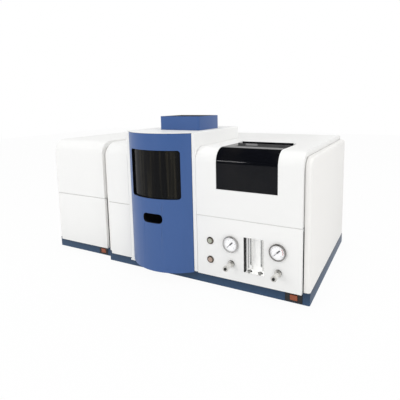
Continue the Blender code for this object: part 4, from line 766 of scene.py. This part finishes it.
SHORT_REACH = 0.0026
SCALE_FIGURE_HEIGHT = 0.0034
SCALE_FIGURE_OFFSET = 0.0064
READING_LINE = (-0.0062, -0.0038)
block_clear = clear("block_clear", (0.80, 0.81, 0.80), 0.06, 0.05)
tube_glass = clear("tube_glass", (0.50, 0.51, 0.50), 0.19, 0.04)
float_steel = coated("float_steel", (0.30, 0.30, 0.31), 0.25, grain=2000, metallic=1.0)
plate_white = coated("plate_white", (0.95, 0.95, 0.93), 0.45, grain=1500, cloud_depth=0.02)
# The plate's glow is painted light, brightening it in the shade behind the block and the panel.
painted_glow(plate_white, PLATE_PAINTED_GLOW)
box_black = coated("box_black", (0.008, 0.008, 0.008), 0.6, grain=1200, gloss=0.3)
scale_grey = coated("scale_grey", (0.74, 0.74, 0.72), 0.5, grain=1800)
mark_grey = coated("mark_grey", (0.16, 0.16, 0.16), 0.5, grain=2000)
knob_black = coated("knob_black", (0.010, 0.010, 0.011), 0.38, grain=1400)
valve_metal = coated("valve_metal", (0.30, 0.30, 0.29), 0.3, grain=1800, metallic=0.8)
block_low, block_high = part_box("flowmeter_block")
face_y = block_low.y
window_top = block_high.z - WINDOW_TOP_GAP
eased("flowmeter_block", block_clear, 0.0003, 1)
surround = bmesh.new()
behind = block_high.y + BOX_GAP
left_wall = block_low.x - WINDOW_SIDE_GAP - BOX_REACH
right_wall = block_high.x + BOX_GAP
roof = block_high.z + BOX_GAP
slab(surround, (left_wall + PLATE / 2, behind, block_low.z - PLATE / 2),
     (block_high.x, behind + PLATE, block_high.z - PLATE / 4), 1)
slab(surround, (left_wall, face_y, block_low.z - PLATE),
     (left_wall + PLATE, behind + PLATE, block_high.z))
slab(surround, (left_wall, face_y, roof), (block_high.x, behind + PLATE, roof + PLATE))
slab(surround, (left_wall + PLATE, face_y, block_low.z - PLATE - BOX_GAP),
     (block_high.x, behind, block_low.z - BOX_GAP), 1)
slab(surround, (right_wall, face_y, block_low.z - PLATE),
     (right_wall + PLATE, behind + PLATE, block_high.z), 1)
formed("flowmeter_box", surround, [box_black, plate_white], "instrument")
for tube in ("left", "right"):
    float_low, float_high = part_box(f"flowmeter_float_{tube}")
    tube_x = (float_low.x + float_high.x) / 2
    tube_y = (float_low.y + float_high.y) / 2
    eased(f"flowmeter_float_{tube}", float_steel, 0)
    knob_low, knob_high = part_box(f"flowmeter_knob_{tube}")
    eased(f"flowmeter_knob_{tube}", valve_metal, 0.0003)
    badge = bmesh.new()
    slab(badge, (tube_x - BADGE_HALF, face_y - BADGE_DEPTH, knob_low.z + BADGE_END_GAP),
         (tube_x + BADGE_HALF, face_y, knob_high.z - BADGE_END_GAP))
    corners = [edge for edge in badge.edges
               if abs(edge.verts[0].co.y - edge.verts[1].co.y) > BADGE_DEPTH / 2]
    bmesh.ops.bevel(badge, geom=corners, offset=BADGE_CORNER, affect="EDGES", segments=5,
                    profile=0.5, material=-1)
    formed(f"flowmeter_knob_plate_{tube}", badge, [knob_black], "instrument")
    bore = bmesh.new()
    outer, inner = TUBE_RADII
    length = block_high.z - TUBE_TOP_GAP - TUBE_BOTTOM
    turned(bore, [(outer, 0), (outer, length), (inner, length), (inner, 0)],
           (tube_x, tube_y, TUBE_BOTTOM), (0, 0, 1), steps=32)
    formed(f"flowmeter_tube_{tube}", bore, [tube_glass], "instrument")
    scale_plate = bmesh.new()
    scale_left = tube_x + SCALE_OFFSET
    scale_right = min(scale_left + SCALE_WIDTH, block_high.x - SCALE_SIDE_GAP)
    scale_face = face_y - SCALE_DEPTH
    mark_face = face_y - MARK_DEPTH
    slab(scale_plate, (scale_left, scale_face, SCALE_FOOT),
         (scale_right, face_y, window_top - SCALE_TOP_GAP))
    for mark in range(MARK_COUNT):
        mark_z = MARK_FOOT + MARK_STEP * mark
        reach = SHORT_REACH if mark % 5 else LONG_REACH
        slab(scale_plate, (scale_left + MARK_START, mark_face, mark_z),
             (scale_left + reach, scale_face, mark_z + MARK_HEIGHT), 1)
        if mark % 10 == 0:
            figures(scale_plate, str(mark // 5), SCALE_FIGURE_HEIGHT,
                    (scale_left + SCALE_FIGURE_OFFSET, mark_face, mark_z), 1)
    formed(f"flowmeter_scale_{tube}", scale_plate, [scale_grey, mark_grey], "instrument")
    if tube == "left":
        line_left, line_right = READING_LINE
        line = bmesh.new()
        slab(line, (tube_x + line_left, scale_face, SCALE_FOOT),
             (tube_x + line_right, face_y, window_top - SCALE_TOP_GAP))
        formed("flowmeter_reading_line", line, [print_black], "instrument")

# Regulator knobs: turned handles with a collar at the panel, a bright neck and grooved grip that is
# turned to set the pressure, and a dark stub at the end. The side of the collar is painted dark, a
# painted shade for the shadow round the knob's base.
KNOB_REACH = 0.062
COLLAR_REACH = 0.0068
GRIP_REACH = 0.0577
STUB_REACH = 0.0585


def is_knob_face(centre, normal):
    """True on the collar and at the front of the grip."""
    return not -GRIP_REACH < centre.y - panel_front < -COLLAR_REACH


def is_knob_stub_or_collar_shade(centre, normal):
    """True on the dark stub at the front, and round the side of the collar, where the dark is
    painted shade.
    """
    return (centre.y < panel_front - STUB_REACH
            or (centre.y > panel_front - COLLAR_REACH and abs(normal.y) < 0.5))


regulator_neck = coated("regulator_neck", (0.86, 0.85, 0.82), 0.20, grain=1800, metallic=0.90)
regulator_dark = coated("regulator_dark", (0.05, 0.05, 0.05), 0.25, grain=1800, metallic=1.0)
regulator_face = coated("regulator_face", (0.58, 0.57, 0.54), 0.30, grain=1800, metallic=0.8)
for knob in ("air_regulator_knob", "fuel_regulator_knob"):
    panel_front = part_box(knob)[0].y + KNOB_REACH
    eased(knob, regulator_neck, 0.0004,
          others=[(regulator_face, is_knob_face), (regulator_dark, is_knob_stub_or_collar_shade)])

# Burner: a slotted titanium bar on a polymer mixing chamber, with the nebuliser in front, on a
# carriage that a knob raises and lowers on its post.
burner_titanium = coated("burner_titanium", (0.40, 0.385, 0.37), 0.34, grain=1200,
                         cloud_depth=0.25, metallic=1.0)
chamber_grey = coated("chamber_grey", (0.30, 0.31, 0.31), 0.42, grain=900)
casting_grey = coated("casting_grey", (0.20, 0.21, 0.22), 0.55, grain=500, peel_height=0.00005)
eased("burner_head", burner_titanium, 0.0004)
eased("mixing_chamber", chamber_grey, 0.0008)
eased("nebuliser", rod_steel, 0.0003)
eased("burner_carriage", casting_grey, 0.001)
eased("burner_lift_post", rod_steel, 0.0008)
eased("burner_height_knob", knob_black, 0.0005)
eased("drip_tray", rod_steel, 0.0003)

# Optics: a cast bench and a cast monochromator box with its slit tower, and a turret of four
# hollow cathode lamps on a stand with its motor.
LAMP_BASE = (0.107, 0.158)
LAMP_LABEL = (0.137, 0.152)
LAMP_LABEL_DEPTH = 0.0002
LAMP_CORE_RADIUS = 0.0179
LAMP_PIN_START = 0.1602
CATHODE_CUP = [(0.0050, 0.062), (0.0050, 0.088), (0.0018, 0.090), (0.0018, 0.1045),
               (0.0006, 0.1045), (0.0006, 0.090), (0.0032, 0.086), (0.0032, 0.062)]
ANODE_RING = [(0.0085, 0.054), (0.0085, 0.056), (0.0070, 0.056), (0.0070, 0.054)]
MICA_DISC = [(0.0160, 0.091), (0.0160, 0.092), (0.0022, 0.092), (0.0022, 0.091)]
ANODE_POST = ((0.056, 0.0072, -0.0006), (0.1045, 0.0084, 0.0006))


def is_lamp_pin(centre, normal):
    """True on the pins behind a lamp's base."""
    return centre.x > lamp_low.x + LAMP_PIN_START


turret_metal = coated("turret_metal", (0.60, 0.60, 0.61), 0.36, grain=1400, metallic=0.9)
lamp_glass = clear("lamp_glass", (0.80, 0.83, 0.84), 0.12)
lamp_black = coated("lamp_black", (0.012, 0.012, 0.013), 0.42, grain=1300)
label_ivory = coated("label_ivory", (0.62, 0.60, 0.52), 0.6, grain=1700)
eased("optical_bench", casting_grey, 0.001)
eased("monochromator_housing", casting_grey, 0.0015)
eased("lamp_turret", turret_metal, 0.0006)
eased("turret_stand", casting_grey, 0.0006)
for number in range(1, 5):
    lamp_low, lamp_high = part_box(f"hollow_cathode_lamp_{number}")
    axis = Vector((lamp_low.x, (lamp_low.y + lamp_high.y) / 2, (lamp_low.z + lamp_high.z) / 2))
    eased(f"hollow_cathode_lamp_{number}", lamp_glass, 0.0005,
          others=[(rod_steel, is_lamp_pin)])
    core = bmesh.new()
    low, high = LAMP_BASE
    turned(core, [(0, low), (LAMP_CORE_RADIUS, low), (LAMP_CORE_RADIUS, high), (0, high)], axis,
           (1, 0, 0))
    low, high = LAMP_LABEL
    skin = LAMP_CORE_RADIUS + LAMP_LABEL_DEPTH
    turned(core, [(LAMP_CORE_RADIUS, low), (skin, low), (skin, high), (LAMP_CORE_RADIUS, high)],
           axis, (1, 0, 0), index=1)
    formed(f"lamp_base_{number}", core, [lamp_black, label_ivory], "turret")
    cathode = bmesh.new()
    turned(cathode, CATHODE_CUP, axis, (1, 0, 0), steps=24)
    turned(cathode, ANODE_RING, axis, (1, 0, 0), steps=32)
    turned(cathode, MICA_DISC, axis, (1, 0, 0), steps=32)
    slab(cathode, *ANODE_POST, turn=Matrix.Translation(axis))
    formed(f"lamp_cathode_{number}", cathode, [float_steel], "turret")

# Rear: a flat sheet with vent slots on each unit, screwed on, a fan behind a wire guard and the
# mains inlet.
SCREW_PLACES = [(across, up) for across in (0.02, 0.5, 0.98) for up in (0.06, 0.5, 0.96)]
SCREW_PROFILE = [(0, 0.0016), (0.0022, 0.0015), (0.0034, 0.0010), (0.0038, 0.0002), (0.0038, 0),
                 (0, 0)]
GUARD_RINGS = (0.012, 0.023, 0.034, 0.045, 0.0548)
GUARD_WIRE = 0.0009
GUARD_SETBACK = 0.0012
GUARD_SPOKE = ((-0.0008, -0.0022, 0.011), (0.0008, -0.0006, 0.0552))
fan_black = coated("fan_black", (0.014, 0.014, 0.015), 0.5, grain=900)
for sheet in ("rear_panel", "companion_rear_panel"):
    eased(sheet, casing_white, 0.0004)
    sheet_low, sheet_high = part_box(sheet)
    screws = bmesh.new()
    for across, up in SCREW_PLACES:
        centre = (sheet_low.x + (sheet_high.x - sheet_low.x) * across, sheet_high.y,
                  sheet_low.z + (sheet_high.z - sheet_low.z) * up)
        turned(screws, SCREW_PROFILE, centre, (0, 1, 0), steps=16)
    formed(f"{sheet}_screws", screws, [rod_steel], "instrument")
for part in ("fan_frame", "fan_rotor"):
    eased(part, fan_black, 0.0005)
eased("power_inlet", fan_black, 0.0003)
fan_low, fan_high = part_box("fan_frame")
guard_centre = ((fan_low.x + fan_high.x) / 2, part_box("rear_panel")[1].y - GUARD_SETBACK,
                (fan_low.z + fan_high.z) / 2)
guard = bmesh.new()
for ring in GUARD_RINGS:
    wire = [(ring + GUARD_WIRE * math.cos(math.tau * step / 8),
             GUARD_WIRE * math.sin(math.tau * step / 8)) for step in range(8)]
    turned(guard, wire, guard_centre, (0, 1, 0))
for spoke in range(4):
    eighth = Matrix.Rotation(math.radians(45 + 90 * spoke), 4, "Y")
    slab(guard, *GUARD_SPOKE, turn=Matrix.Translation(guard_centre) @ eighth)
formed("fan_guard", guard, [rod_steel], "instrument")
